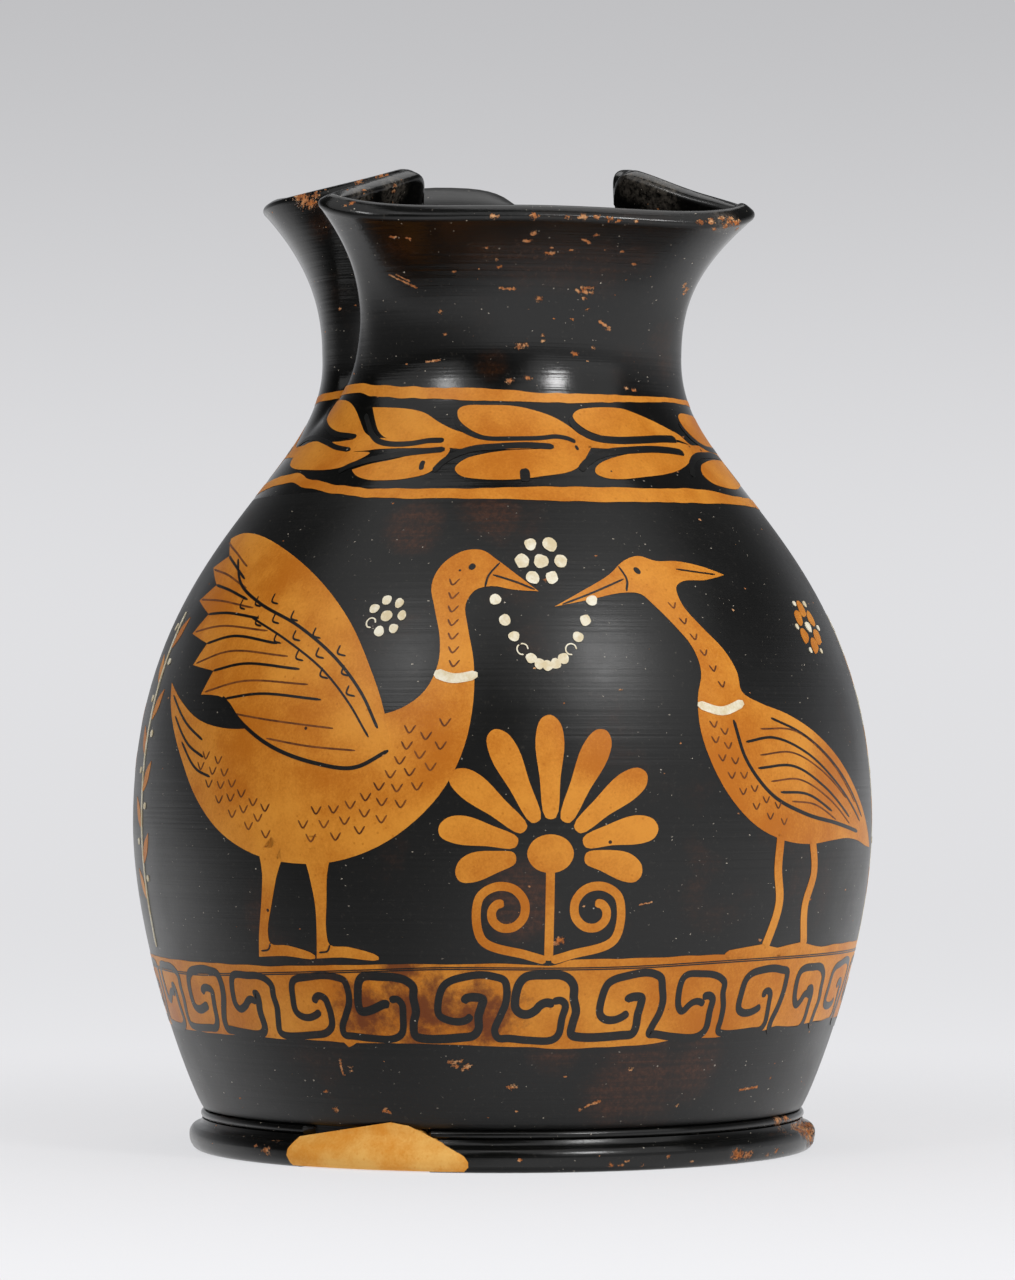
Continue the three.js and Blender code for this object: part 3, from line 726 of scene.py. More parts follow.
def cut_sheet(sheet, step_x, step_y):
    """Cuts a flat sheet into cells, so that it can follow a curved wall."""
    bmesh.ops.triangulate(sheet, faces=sheet.faces, ngon_method="EAR_CLIP")
    for axis, step in ((0, step_x), (1, step_y)):
        spots = [vert.co[axis] for vert in sheet.verts]
        normal = Vector((1, 0, 0)) if axis == 0 else Vector((0, 1, 0))
        for cut in range(math.ceil(min(spots) / step), math.ceil(max(spots) / step)):
            bmesh.ops.bisect_plane(sheet, geom=sheet.verts[:] + sheet.edges[:] + sheet.faces[:],
                                   dist=1e-5, plane_co=normal * (cut * step), plane_no=normal)


def matt_clay(name, dark, light, scale, rough, pores, stains=()):
    """A dull, fine-grained surface that clouds from dark to light and is pricked by small dark pores. Stains
    are places where it is burnt or soaked to a dark red-brown."""
    material, tree, place = fresh_material(name)
    cloud = clouds(tree, place, scale, 6, 0.6)[0]
    grain = clouds(tree, place, 1600, 3, 0.7)[0]
    tone = ramp(tree, maths(tree, "MULTIPLY_ADD", grain, 0.3, cloud), 0.47, 0.83)
    holes = add_node(tree, "TexVoronoi", {"Vector": place, "Scale": 420}).outputs["Distance"]
    colour = blend(tree, tone, srgb(*dark), srgb(*light))
    colour = blend(tree, ramp(tree, holes, 0.08, 0.16, pores, 0), colour, srgb(*dark))
    colour = blend(tree, pricks(tree, place, 260, 0.90, 0.03, 0.12)[0], colour, srgb(58, 36, 22))
    blots = clouds(tree, place, 190, 7, 0.72)[0]
    soaked = maths(tree, "MULTIPLY_ADD", blots, 2.6, nearest_spot(tree, place, stains))
    colour = blend(tree, ramp(tree, soaked, 1.5, 2.35, 0.85, 0), colour, srgb(96, 38, 16))
    shader = coat(tree, colour, maths(tree, "MULTIPLY", grain, 0.05))
    shader.inputs["Roughness"].default_value = rough
    shader.inputs["Specular IOR Level"].default_value = 0.3
    return material


fill_clay = bmesh.new()
fill_clay.faces.new([fill_clay.verts.new((turn, height, 0)) for turn, height in reversed(fill_edge)])
cut_sheet(fill_clay, 1, 0.5)
skin = bmesh.ops.extrude_face_region(fill_clay, geom=fill_clay.faces[:], use_keep_orig=True)
outer = {vert for vert in skin["geom"] if isinstance(vert, bmesh.types.BMVert)}
for vert in fill_clay.verts:
    turn, height = vert.co.x, vert.co.y
    if vert in outer:
        rubbed = noise.noise(Vector((turn * 0.25, height * 0.4, 0))) * fill_unevenness
        on_body = wall_radius(height) + fill_on_body if height > join_height else 0
        radius = max(between(fill_profile, height), on_body) + rubbed
    else:
        radius = loss_radius if height < foot_height else seat_radius
    vert.co = at_turn(turn, radius, height)
bmesh.ops.recalc_face_normals(fill_clay, faces=fill_clay.faces)
tan_plaster = matt_clay("tan_plaster", (240, 158, 54), (255, 196, 104), 110, 0.75, 0.5)
fill = fire("plaster_foot_fill", fill_clay, tan_plaster)
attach(fill, "root")
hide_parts("foot_fill")


# Handle. A strap pulled from wet clay, flat inside and softly arched outside, luted to the back of the lip
# and to the shoulder, where its ends spread and are smoothed into the wall.
handle_stand = 24.5
crown_rise = 13.5
strap_thickness = 8.5
strap_width = 27
lip_spread, lip_spread_length = 19, 0.35
root_spread, root_spread_length = 9, 0.3
root_taper, root_taper_length = 0.8, 0.09
inner_flatness = 0.86
side_square, arch_square = 0.75, 0.95
smoothed_rows, bite_depth = 7, 1.2
root_height = 141.0
strap_bite = 5.0
section_steps = 32
lip_y = waist_radius + mouth_lines[-1][4]
lip_z = rim_foot + mouth_lines[-1][5]
root_y = wall_radius(root_height)
drop = lip_z - root_height
strap_line = [Vector(point) for point in (
    (lip_y - strap_bite * 1.6, lip_z - strap_bite * 0.8),
    (lip_y - strap_bite * 0.3, lip_z + crown_rise * 0.04),
    (lip_y + handle_stand * 0.16, lip_z + crown_rise * 0.48),
    (lip_y + handle_stand * 0.45, lip_z + crown_rise - strap_thickness / 2),
    (lip_y + handle_stand * 0.8, lip_z + crown_rise * 0.12),
    (lip_y + handle_stand * 0.99, lip_z - drop * 0.22),
    (lip_y + handle_stand, lip_z - drop * 0.42),
    (root_y + handle_stand * 0.36, root_height + drop * 0.27),
    (root_y + handle_stand * 0.14, root_height + drop * 0.1),
    (root_y - strap_bite, root_height))]


def curve_through(points, steps, closed=False):
    """Points on a smooth curve through the given ones, steps to each stretch. A corner is given twice."""
    count = len(points)
    made = []
    for index in range(count if closed else count - 1):
        b, c = points[index], points[(index + 1) % count]
        a = points[index - 1] if closed or index else b * 2 - c
        d = points[(index + 2) % count] if closed or index < count - 2 else c * 2 - b
        if (b - c).length < 1e-6:
            continue
        first, second, third = (max(gap.length, 1e-6) ** 0.5 for gap in (b - a, c - b, d - c))
        for step in range(steps):
            t = step / steps * second
            ab = a + (b - a) * ((t + first) / first)
            bc = b + (c - b) * (t / second)
            cd = c + (d - c) * ((t - second) / third)
            abc = ab + (bc - ab) * ((t + first) / (first + second))
            bcd = bc + (cd - bc) * (t / (second + third))
            made.append(abc + (bcd - abc) * (t / second))
    return made if closed else made + [points[-1]]


def power(value, exponent):
    return math.copysign(abs(value) ** exponent, value)


strap_path = curve_through(strap_line, 16)[18:-6]
last_row = len(strap_path) - 1
handle_clay = bmesh.new()
bmesh.ops.create_grid(handle_clay, x_segments=section_steps, y_segments=last_row, size=1)
for vert in handle_clay.verts:
    row = round((vert.co.y + 1) / 2 * last_row)
    angle = (vert.co.x + 1) * math.pi
    centre = strap_path[row]
    run = (strap_path[min(row + 1, last_row)] - strap_path[max(row - 1, 0)]).normalized()
    share = row / last_row
    width = strap_width + lip_spread * max(0, 1 - share / lip_spread_length) ** 2
    width += root_spread * max(0, 1 - (1 - share) / root_spread_length) ** 2
    width *= math.sqrt(1 - root_taper * max(0.0, 1 - (1 - share) / root_taper_length) ** 2)
    across = power(math.cos(angle), side_square) * width / 2
    arch = power(math.sin(angle), arch_square) * strap_thickness / 2
    arch *= 1 if arch > 0 else inner_flatness
    point = Vector((across, centre.x - run.y * arch, centre.y + run.x * arch)) * mm
    end = max(0.0, 1 - row / smoothed_rows, 1 - (last_row - row) / smoothed_rows)
    if end:
        wall, normal, _, _ = wall_tree.find_nearest(point)
        point = point.lerp(wall - normal * (bite_depth * mm), end ** 1.5)
    vert.co = point
bmesh.ops.remove_doubles(handle_clay, verts=handle_clay.verts, dist=0.01 * mm)
rims = [edge for edge in handle_clay.edges if edge.is_boundary]
bmesh.ops.holes_fill(handle_clay, edges=rims, sides=0)
bmesh.ops.recalc_face_normals(handle_clay, faces=handle_clay.faces)
handle = fire("strap_handle", handle_clay, black_slip("gloss_on_handle"))
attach(handle, "root")
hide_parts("handle")


# Reserved lines. Two rings left in the colour of the clay, above and below the laurel. The painter drew
# round them freehand as the jug turned, so they wander by a millimetre or two.
clay_lift = 0.07
line_lift = 0.12
paint_lift = 0.20
sunk = 0.12
ring_steps = 480
edge_waver = 0.2


def lay_on_wall(sheet, place, lift):
    """Lays a flat sheet on the wall as a thin closed layer. place gives a turn and height for a point."""
    for vert in sheet.verts:
        turn, height = place(vert.co.x, vert.co.y)
        aim = at_turn(turn, 1, 0).normalized()
        wall, normal, _, _ = wall_tree.ray_cast(aim * 0.2 + Vector((0, 0, height * mm)), -aim)
        vert.co = wall + normal * (lift * mm)
    bmesh.ops.remove_doubles(sheet, verts=sheet.verts, dist=0.01 * mm)
    back = bmesh.ops.extrude_face_region(sheet, geom=sheet.faces[:], use_keep_orig=True)
    for vert in back["geom"]:
        if isinstance(vert, bmesh.types.BMVert):
            vert.co -= Vector((vert.co.x, vert.co.y, 0)).normalized() * ((lift + sunk) * mm)
    bmesh.ops.recalc_face_normals(sheet, faces=sheet.faces)


def ring_edge(points, turn):
    """A height that eases from point to point round the jug, each a turn and a height."""
    turns = points + [(points[0][0] + 360, points[0][1])]
    turn = (turn - points[0][0]) % 360 + points[0][0]
    for (low, at_low), (high, at_high) in zip(turns, turns[1:]):
        if turn <= high:
            return at_low + (at_high - at_low) * smooth_share(turn, low, high)
    return points[-1][1]


def reserve_ring(top, bottom, rows):
    """A ring of bare clay between two edges, each a list of turns and heights."""
    sheet = bmesh.new()
    bmesh.ops.create_grid(sheet, x_segments=ring_steps, y_segments=rows, size=1)

    def place(x, y):
        turn = x * 180
        low, high = ring_edge(bottom, turn), ring_edge(top, turn)
        waver = noise.noise(Vector((turn * 0.25, low, 0))) * edge_waver
        return turn, low + (high - low) * (y + 1) / 2 + waver

    lay_on_wall(sheet, place, clay_lift)
    return sheet


def join_clays(clays):
    """Several clays in one, the others emptied."""
    whole = clays[0]
    for clay in clays[1:]:
        add_copy(whole, clay)
        clay.free()
    return whole


upper_ring_top = [(-58, 182.4), (-50, 181.5), (-40, 180.9), (-30, 180.3), (-20, 180.2), (-10, 179.7),
                  (0, 179.0), (10, 179.0), (30, 179.2), (50, 179.5), (90, 179.8), (150, 180.2), (200, 180.0),
                  (250, 180.8)]
upper_ring_bottom = [(-58, 180.2), (-52, 179.0), (-47, 178.6), (-40, 178.1), (-30, 177.7), (-20, 177.1),
                     (0, 176.8), (10, 176.7), (20, 177.2), (30, 177.7), (50, 178.4), (90, 178.0),
                     (150, 178.4), (220, 178.2)]
lower_ring_top = [(-70, 161.2), (-60, 159.0), (-50, 157.2), (-40, 156.1), (-20, 155.7), (0, 156.2),
                  (20, 156.3), (40, 156.9), (55, 155.9), (100, 156.4), (160, 156.8), (220, 157.6),
                  (260, 159.6)]
lower_ring_bottom = [(-70, 158.9), (-60, 157.0), (-50, 155.2), (-40, 154.0), (-30, 153.5), (-10, 153.2),
                     (0, 152.8), (10, 152.7), (30, 153.2), (50, 153.8), (100, 153.6), (160, 153.9),
                     (220, 154.8), (260, 157.0)]
rings_clay = join_clays([reserve_ring(upper_ring_top, upper_ring_bottom, 2),
                         reserve_ring(lower_ring_top, lower_ring_bottom, 2)])
stains = [round_spot(turn, wall_radius(height), height, reach) for turn, height, reach in (
    (-24, 38, 13), (-14, 36, 10), (-33, 37, 9), (-26, 47, 6))]
reserved_clay = matt_clay("reserved_clay", (194, 110, 12), (228, 150, 50), 42, 0.42, 0.6, stains)
rings = fire("reserved_rings", rings_clay, reserved_clay)
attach(rings, "root")


# Laurel. A branch of broad leaves left bare between the two rings, pointing to the left, with the black
# brushed in round it. A curled black stroke parts each leaf from the stem.
neck_mm_per_degree = 1.05
laurel_pitch = 31.4
upper_start, lower_start = 73.5, 67
back_leaves = 7
stem_low, stem_high = 165.6, 168.4
stem_waver = 0.3
leaf_cell = (1.6, 2)


def paint_shape(sheet, outline, scale=1.0, shift=0.0):
    """Adds a filled shape to a sheet: a smooth outline of turns and heights, its turns moved by shift."""
    points = [Vector(((turn + shift) * scale, height)) for turn, height in outline]
    loop = curve_through(points, 4, closed=True)
    face = sheet.faces.new([sheet.verts.new((point.x, point.y, 0)) for point in loop])
    face.normal_update()
    if face.normal.z < 0:
        face.normal_flip()


def brush(sheet, path, width, scale=1.0, shift=0.0, blunt=0.5):
    """Adds a brush stroke to a sheet: a ribbon along turns and heights, with rounded ends."""
    points = [Vector(((turn + shift) * scale, height)) for turn, height in path]
    longest = max((after - before).length for before, after in zip(points, points[1:]))
    line = curve_through(points, max(5, math.ceil(longest / 1.2)))
    steps = len(line) - 1
    lengths = [0.0]
    for before, after in zip(line, line[1:]):
        lengths.append(lengths[-1] + (after - before).length)
    made = bmesh.ops.create_grid(sheet, x_segments=steps, y_segments=1, size=1)
    for vert in made["verts"]:
        step = round((vert.co.x + 1) / 2 * steps)
        run = (line[min(step + 1, steps)] - line[max(step - 1, 0)]).normalized()
        to_end = min(lengths[step], lengths[-1] - lengths[step])
        tip = min(1.0, to_end / (blunt * width) + 0.12)
        half_width = width / 2 * math.sqrt(max(0.0, 1 - (1 - tip) ** 2))
        point = line[step] + Vector((-run.y, run.x)) * math.copysign(half_width, vert.co.y)
        vert.co = (point.x, point.y, 0)


upper_leaf_a = [(-74, 178.2), (-69, 178.9), (-63, 178.4), (-60, 177.4), (-57, 175.4), (-54, 172.8),
                (-51, 170.3), (-47, 168.4), (-46, 167.4), (-52, 168.3), (-60, 169.8), (-68, 172.2),
                (-73, 175)]
upper_leaf_b = [(-51, 176.3), (-51, 176.3), (-45, 176.0), (-38, 175.4), (-33, 174.3), (-28, 171.8),
                (-23, 169.8), (-18, 168.6), (-18, 168.2), (-26, 168.0), (-36, 168.0), (-42, 168.3),
                (-46, 170.2), (-49, 173.4)]
upper_leaf_c = [(-23.5, 174.8), (-22, 175.8), (-15, 176.0), (-8, 175.8), (-3, 175.0), (3, 173.3), (7, 171.2),
                (10, 168.9), (13, 167.9), (12, 167.4), (4, 168.2), (-6, 168.2), (-15, 168.4), (-20, 170.4),
                (-23, 172.8)]
upper_leaf_d = [(9, 173.7), (10.5, 174.9), (14, 175.6), (25, 175.9), (30, 174.9), (36, 173.3), (42, 171.5),
                (46, 170.2), (48, 168.6), (50, 167.6), (44, 169.0), (30, 168.8), (16, 169.0), (11.5, 170.6),
                (9.2, 172.6)]
lower_leaf_a = [(-80, 166.4), (-79, 164.2), (-74, 162.6), (-66, 161.8), (-58, 161.4), (-53, 161.8),
                (-49.5, 163), (-46, 165), (-52, 165.6), (-60, 167.2), (-67, 168.6), (-74, 169.0),
                (-78, 168.2)]
lower_leaf_b = [(-49, 161.0), (-49, 161.0), (-47, 159.6), (-43, 158.4), (-38, 158.1), (-33, 158.4),
                (-28, 159.7), (-25.5, 162.5), (-24, 165.3), (-25, 165.8), (-30, 165.0), (-38, 163.2),
                (-45, 162.1)]
lower_leaf_c = [(-22, 160.7), (-20.5, 158.9), (-16, 158.0), (-8, 157.9), (-2, 158.7), (5, 160.0), (8, 161.8),
                (11, 165.0), (12, 166.2), (6, 166.0), (0, 165.4), (-10, 164.9), (-16, 164.0), (-20, 162.8)]
lower_leaf_d = [(11, 159.7), (13, 158.6), (17, 158.4), (24, 159.2), (30, 160.0), (36, 161.3), (42, 163.4),
                (46, 165.4), (48, 166.4), (42, 166.4), (30, 165.8), (20, 164.3), (14, 162.6), (11.4, 161.0)]
upper_stroke_a = [(-80, 177.6), (-77, 175.8), (-72, 173.6), (-67, 171.6), (-62, 170.3), (-57, 169.7),
                  (-53.3, 169.2)]
upper_stroke_b = [(-53, 174.6), (-50.5, 172), (-48, 169.6), (-45, 167.9), (-41, 167.0), (-35, 166.9),
                  (-30, 167.5), (-26, 167.5)]
upper_stroke_c = [(-24.6, 173.4), (-22.5, 170.8), (-19, 168.9), (-15, 167.9), (-8, 167.8), (-1, 168.0),
                  (3, 168.4), (6, 168.0), (8, 167.2)]
upper_stroke_d = [(8, 173), (9, 171), (11, 169.4), (14, 168.3), (20, 167.9), (28, 168.3), (36, 168.9),
                  (42.5, 169.1)]
lower_stroke_a = [(-84, 168.4), (-80, 169.8), (-75, 170.1), (-70, 169.5), (-64, 168.2), (-59, 166.9),
                  (-53, 166)]
lower_stroke_b = [(-53, 160.8), (-50.5, 162.0), (-45, 163.3), (-38, 164.2), (-31, 164.9), (-25.3, 165.3)]
lower_stroke_c = [(-27, 160.0), (-25, 162.4), (-22, 164.2), (-18, 165.4), (-12, 165.9), (-5, 166.2),
                  (2, 165.9)]
lower_stroke_d = [(7.4, 160.4), (9.5, 162.2), (13, 164.0), (17, 165.0), (23, 165.6), (30, 166.1), (37, 166.1),
                  (42.3, 165.8)]
upper_leaves = [(leaf, 0) for leaf in (upper_leaf_a, upper_leaf_b, upper_leaf_c, upper_leaf_d)]
lower_leaves = [(leaf, 0) for leaf in (lower_leaf_a, lower_leaf_b, lower_leaf_c, lower_leaf_d)]
strokes = [(path, width, 0) for path, width in (
    (upper_stroke_a, 1.2), (upper_stroke_b, 1.3), (upper_stroke_c, 1.1), (upper_stroke_d, 1.8),
    (lower_stroke_a, 1.1), (lower_stroke_b, 1.4), (lower_stroke_c, 1.5), (lower_stroke_d, 1.7))]
strokes += [([(-30, 162.6), (-30.2, 161.6), (-30, 160.4)], 1.3, 0), ([(7.6, 165.6), (8.3, 165.9)], 1.4, 0),
            ([(-6, 160.5), (-5.8, 159), (-6, 157.4)], 2.4, 0)]
for leaf in range(back_leaves):
    upper_shift, lower_shift = upper_start + laurel_pitch * leaf, lower_start + laurel_pitch * leaf
    upper_leaves.append((upper_leaf_c, upper_shift))
    lower_leaves.append((lower_leaf_c, lower_shift))
    strokes += [(upper_stroke_c, 1.4, upper_shift), (lower_stroke_c, 1.5, lower_shift)]
leaves_sheet = bmesh.new()
for outline, shift in upper_leaves + lower_leaves:
    paint_shape(leaves_sheet, outline, neck_mm_per_degree, shift)
cut_sheet(leaves_sheet, *leaf_cell)
lay_on_wall(leaves_sheet, lambda x, y: (x / neck_mm_per_degree, y), clay_lift)
stem_turns = range(-180, 180, 10)
stem_top = [(turn, stem_high - stem_waver * math.sin(math.radians(turn * 9))) for turn in stem_turns]
stem_bottom = [(turn, stem_low + stem_waver * math.sin(math.radians(turn * 7))) for turn in stem_turns]
laurel_clay = join_clays([leaves_sheet, reserve_ring(stem_top, stem_bottom, 2)])
laurel = fire("laurel_leaves", laurel_clay, reserved_clay)
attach(laurel, "root")

strokes_sheet = bmesh.new()
for path, width, shift in strokes:
    brush(strokes_sheet, path, width, neck_mm_per_degree, shift)
lay_on_wall(strokes_sheet, lambda x, y: (x / neck_mm_per_degree, y), line_lift)
gloss_lines = black_slip("gloss_brushed_lines", gloss=(0.3, 0.36))
laurel_strokes = fire("laurel_strokes", strokes_sheet, gloss_lines)
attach(laurel_strokes, "root")


# Key band. A bare strip carries the picture's ground line, and below that a running key brushed in one
# thick stroke after another, each hooked round the next.
key_mm_per_degree = 1.51
key_pitch = 12.9
key_foot, key_tall = 30, 14
key_slip_across, key_slip_up = 0.9, 0.63
key_width, key_sway = 1.8, 0.5
band_top = [(-60, 46.5), (-50, 46.5), (-35, 47.2), (-20, 47.7), (-12, 47.9), (-4, 47.4), (0, 48.7),
            (35, 49.4), (60, 50.2), (110, 49.0), (180, 48.0), (240, 47.2)]
band_bottom = [(-60, 29.8), (-40, 29.7), (-37.5, 29.4), (-36.5, 28.2), (-35.5, 29.4), (-20, 29.5), (-8, 28.9),
               (0, 28.4), (10, 28.8), (20, 30), (30, 30.3), (40, 31.3), (55, 32.0), (120, 31.0), (180, 30.6),
               (240, 30.4)]
key_ground = fire("key_band_ground", reserve_ring(band_top, band_bottom, 8), reserved_clay)
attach(key_ground, "root")

# Two shapes of the key's unit, their turns counted from the left side of the arch.
key_units = (
    [(5, 36.7), (4, 35.8), (2.5, 35.2), (1, 35.5), (0.1, 36.5), (0, 40), (0.5, 43), (1.5, 44.2),
     (3.5, 44.8), (6.5, 45.3), (8.5, 45), (10, 44.3), (10.3, 42), (10.1, 39), (9.5, 36), (8.9, 33),
     (9.2, 31.2), (10.5, 31), (13.5, 30.6), (17.6, 30.6), (18.9, 32), (19, 36), (19.1, 39), (18.5, 40),
     (17.5, 39.5)],
    [(5.2, 38.3), (4.0, 38.8), (3.2, 38.3), (2.5, 37.3), (1.3, 36.4), (0.5, 36.6), (0, 37.8), (0, 42),
     (0.5, 44), (1.5, 44.8), (4.5, 44.9), (6.5, 44.8), (8, 44), (9.1, 42.5), (9.2, 40), (9.5, 37),
     (9.1, 34), (9.1, 31.4), (10.5, 30.9), (16.5, 31.3), (18.5, 31.6), (19.3, 33), (19.5, 36), (19.7, 38),
     (19.6, 39.8), (18.5, 40.4), (17.5, 40), (17.3, 39)],
)
key_starts = [-72, -59, -46, -34, -20.5, -8.5, 4.5, 17.5, 30, 43.5]
key_starts += [56 + key_pitch * unit for unit in range(18)]
ground_line = [(-180, 46.4), (-140, 45.6), (-110, 44.6), (-90, 44.0), (-70, 43.4), (-50, 44.5), (-30, 45.9),
               (-20, 46.5), (0, 46.4), (10, 46.6), (20, 47.1), (30, 47.5), (60, 47.8), (100, 47.4),
               (140, 46.8), (180, 46.4)]
key_sheet = bmesh.new()
for unit, start in enumerate(key_starts):
    sway = noise.noise(Vector((start * 0.3, 0, 5))) * key_sway
    rise = 0.5 * math.sin(math.radians(start * 1.3)) + sway
    path = []
    for step, (turn, height) in enumerate(key_units[unit % 2]):
        slip_x, slip_y = (noise.noise(Vector((start, step * 0.35, axis))) for axis in (0, 9))
        lean = rise * (height - key_foot) / key_tall
        path.append((turn + slip_x * key_slip_across, height + slip_y * key_slip_up + lean))
    brush(key_sheet, path, key_width + sway, key_mm_per_degree, start)
brush(key_sheet, ground_line, 0.28, key_mm_per_degree)
brush(key_sheet, [(turn, height + 0.42) for turn, height in ground_line], 0.26, key_mm_per_degree)
lay_on_wall(key_sheet, lambda x, y: (x / key_mm_per_degree, y), line_lift)
key = fire("running_key", key_sheet, gloss_lines)
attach(key, "root")


# Picture. Two water birds face each other over a palmette, with a beaded cord from beak to beak, and a
# large palmette between scrolls stands under the handle. The birds are left bare, and their feathers
# are drawn on them in fine raised lines and in thinned brown slip.
picture_floor = 48.5
picture_cell = (2.5, 2.5)
swan_turn = -42.0
heron_turn = 34.0
plant_turn = -4.0
reed_turns = (-84, 77)
rosette_place = (26, 76)
petal_spread = math.radians(96)
swan_body = [
    (50, 83), (50, 83), (44, 86.8), (38.5, 90.2), (34, 92.6), (29.5, 92.2), (26, 89), (25.2, 84.5),
    (27.5, 79), (30.2, 72.5), (31, 66.5), (29, 60.5), (24, 56.5), (16, 54.5), (4, 53.5), (-10, 52.5),
    (-22, 52), (-34, 54), (-44, 58.5), (-52, 63), (-52, 63), (-50, 58), (-46, 52), (-40, 44.5), (-33, 36),
    (-24, 28.5), (-13, 23.5), (-2, 21.6), (9, 22), (20, 25.5), (29, 31.5), (35.5, 39), (39.3, 48), (40.3, 58),
    (39, 67), (36, 75), (34.3, 80), (35.5, 83.2), (39, 84.2), (44, 83.4)]
swan_wing = [
    (22, 47), (20, 56), (15, 66), (8, 76), (-2, 85), (-14, 92), (-28, 97), (-40, 98.5), (-48, 97.5),
    (-48, 97.5), (-42, 93), (-42, 93), (-50, 90.5), (-50, 90.5), (-42, 86), (-42, 86), (-49.5, 82.5),
    (-49.5, 82.5), (-40.5, 79), (-40.5, 79), (-46.5, 74.5), (-46.5, 74.5), (-37, 72), (-37, 72), (-41.5, 67),
    (-41.5, 67), (-31.5, 65.5), (-31.5, 65.5), (-35, 60), (-35, 60), (-25, 59), (-18, 53.5), (-8, 48),
    (4, 44.5), (14, 43.5)]
swan_leg = [(1, 27), (8.5, 27), (7.2, 19), (6.6, 13), (5.8, 6), (6.4, 3.2), (11, 2.8), (18, 0.8), (18, 0),
            (9, 0.4), (2.5, 0), (2.5, 0), (3.2, 5), (3.6, 12), (2.6, 19)]
swan_far_leg = [(-11, 27), (-3.5, 27), (-6.5, 18.5), (-8.4, 12.5), (-10.4, 6), (-10.0, 3.2), (-5, 2.8),
                (2, 0.8), (2, 0), (-6, 0.4), (-14, 0), (-14, 0), (-13.2, 5), (-11.6, 12), (-10.6, 19)]
heron_body = [
    (-50, 79.5), (-50, 79.5), (-42, 83.2), (-34, 87), (-29, 90.2), (-24.5, 91.5), (-20.5, 90.4), (-15, 90.5),
    (-8, 89.4), (-2, 87.6), (-2, 87.6), (-9, 86.2), (-15.5, 85.8), (-18.2, 84.2), (-18.2, 80), (-14.8, 75),
    (-10.5, 70), (-8.2, 65), (-8, 60.5), (-3, 58), (6, 55.5), (16, 51.5), (26, 46), (36, 39), (46, 31),
    (54, 24), (54, 24), (47, 24.5), (38, 26), (30, 26.6), (22, 26.2), (12, 25.5), (2, 26.5), (-7, 29.8),
    (-14, 35.5), (-19, 43), (-21.6, 51.5), (-21, 59), (-18.6, 65), (-19.3, 70.5), (-22.8, 76), (-26, 80.2),
    (-28.2, 82.6), (-33, 82.8), (-41, 81.2)]
heron_limbs = [([(1, 28), (0.5, 20), (2, 12), (-1, 1.5)], 2.6), ([(0, 1.8), (-6, 1.2), (-13, 0.4)], 2.2),
               ([(-2, 1.8), (4, 0.8), (8, 0.4)], 1.8), ([(13, 27), (14.5, 19), (12, 11), (14, 1.5)], 2.6),
               ([(14, 1.8), (8, 1.2), (2, 0.4)], 2.2), ([(13, 1.8), (19, 0.8), (23, 0.4)], 1.8)]


def picture_place(turn):
    """Where a picture's point goes: millimetres right of a turn and up from the picture's floor."""
    def place(x, y):
        height = picture_floor + y
        return turn + math.degrees(x / wall_radius(height)), height
    return place


def picture_sheet(turn, outlines, limbs=(), lift=clay_lift):
    """Bare shapes and limbs, laid on the wall about a turn."""
    sheet = bmesh.new()
    for outline in outlines:
        paint_shape(sheet, outline)
    for path, width in limbs:
        brush(sheet, path, width, blunt=0.3)
    cut_sheet(sheet, *picture_cell)
    lay_on_wall(sheet, picture_place(turn), lift)
    return sheet


def petals_of(x, y, size, petals):
    """The outlines of a fan of petals round a heart, the outer ones shorter and hanging outwards."""
    for petal in range(petals):
        lean = petal / (petals - 1) * 2 - 1
        length = size * (1 - 0.3 * lean * lean)
        girth = size * 0.105
        root = size * 0.26
        hang = math.copysign(lean * lean, lean) * 0.22
        outline = []
        for along, across in (
                (root, -0.35), (length * 0.55, -0.75), (length * 0.82, -1.0), (length * 0.97, -0.6),
                (length, 0.1), (length * 0.94, 0.75), (length * 0.8, 1.0), (length * 0.55, 0.7), (root, 0.35)):
            bent = lean * petal_spread + hang * (along / size) ** 2
            point = Vector((math.sin(bent), math.cos(bent))) * along
            point += Vector((math.cos(bent), -math.sin(bent))) * (across * girth)
            outline.append((x + point.x, y + point.y))
        yield outline
    yield [(x + size * 0.17 * math.cos(step / 8 * math.tau), y + size * 0.14 * math.sin(step / 8 * math.tau))
           for step in range(8)]


def palmette(turn, size, height, petals, width):
    """A palmette on a short stem, between two scrolls that sweep out from its foot and curl in."""
    sheet = bmesh.new()
    for outline in petals_of(0, height, size, petals):
        paint_shape(sheet, outline)
    cut_sheet(sheet, *picture_cell)
    x, y, reach = size * 0.33, height * 0.46, size * 0.22
    for side in (-1, 1):
        path = [(side * 0.6, 0), (side * x * 0.5, y * 0.12), (side * (x + reach * 0.7), y * 0.42)]
        for step in range(1, 12):
            angle = math.radians(-15 + step * 42)
            shrink = reach * (1 - step / 15)
            path.append((side * (x + math.cos(angle) * shrink), y + math.sin(angle) * shrink))
        brush(sheet, path, width)
    brush(sheet, [(0, 0), (0, height * 0.5), (0, height)], width)
    lay_on_wall(sheet, picture_place(turn), clay_lift)
    return sheet


def disc(sheet, x, y, radius):
    """Adds a dab of the brush to a sheet, not quite round."""
    made = bmesh.ops.create_circle(sheet, cap_ends=True, segments=14, radius=radius)
    for vert in made["verts"]:
        uneven = noise.noise(Vector((x + vert.co.x, y + vert.co.y, radius)) * 0.7) * 0.3
        vert.co = vert.co * (1 + uneven) + Vector((x, y, 0))


def lost_dab(sheet, x, y, radius):
    """Adds the thin rim that is left of a dab that has flaked away."""
    turns = [step / 9 * math.tau for step in range(8)]
    brush(sheet, [(x + radius * math.cos(turn), y + radius * math.sin(turn)) for turn in turns], 0.3)


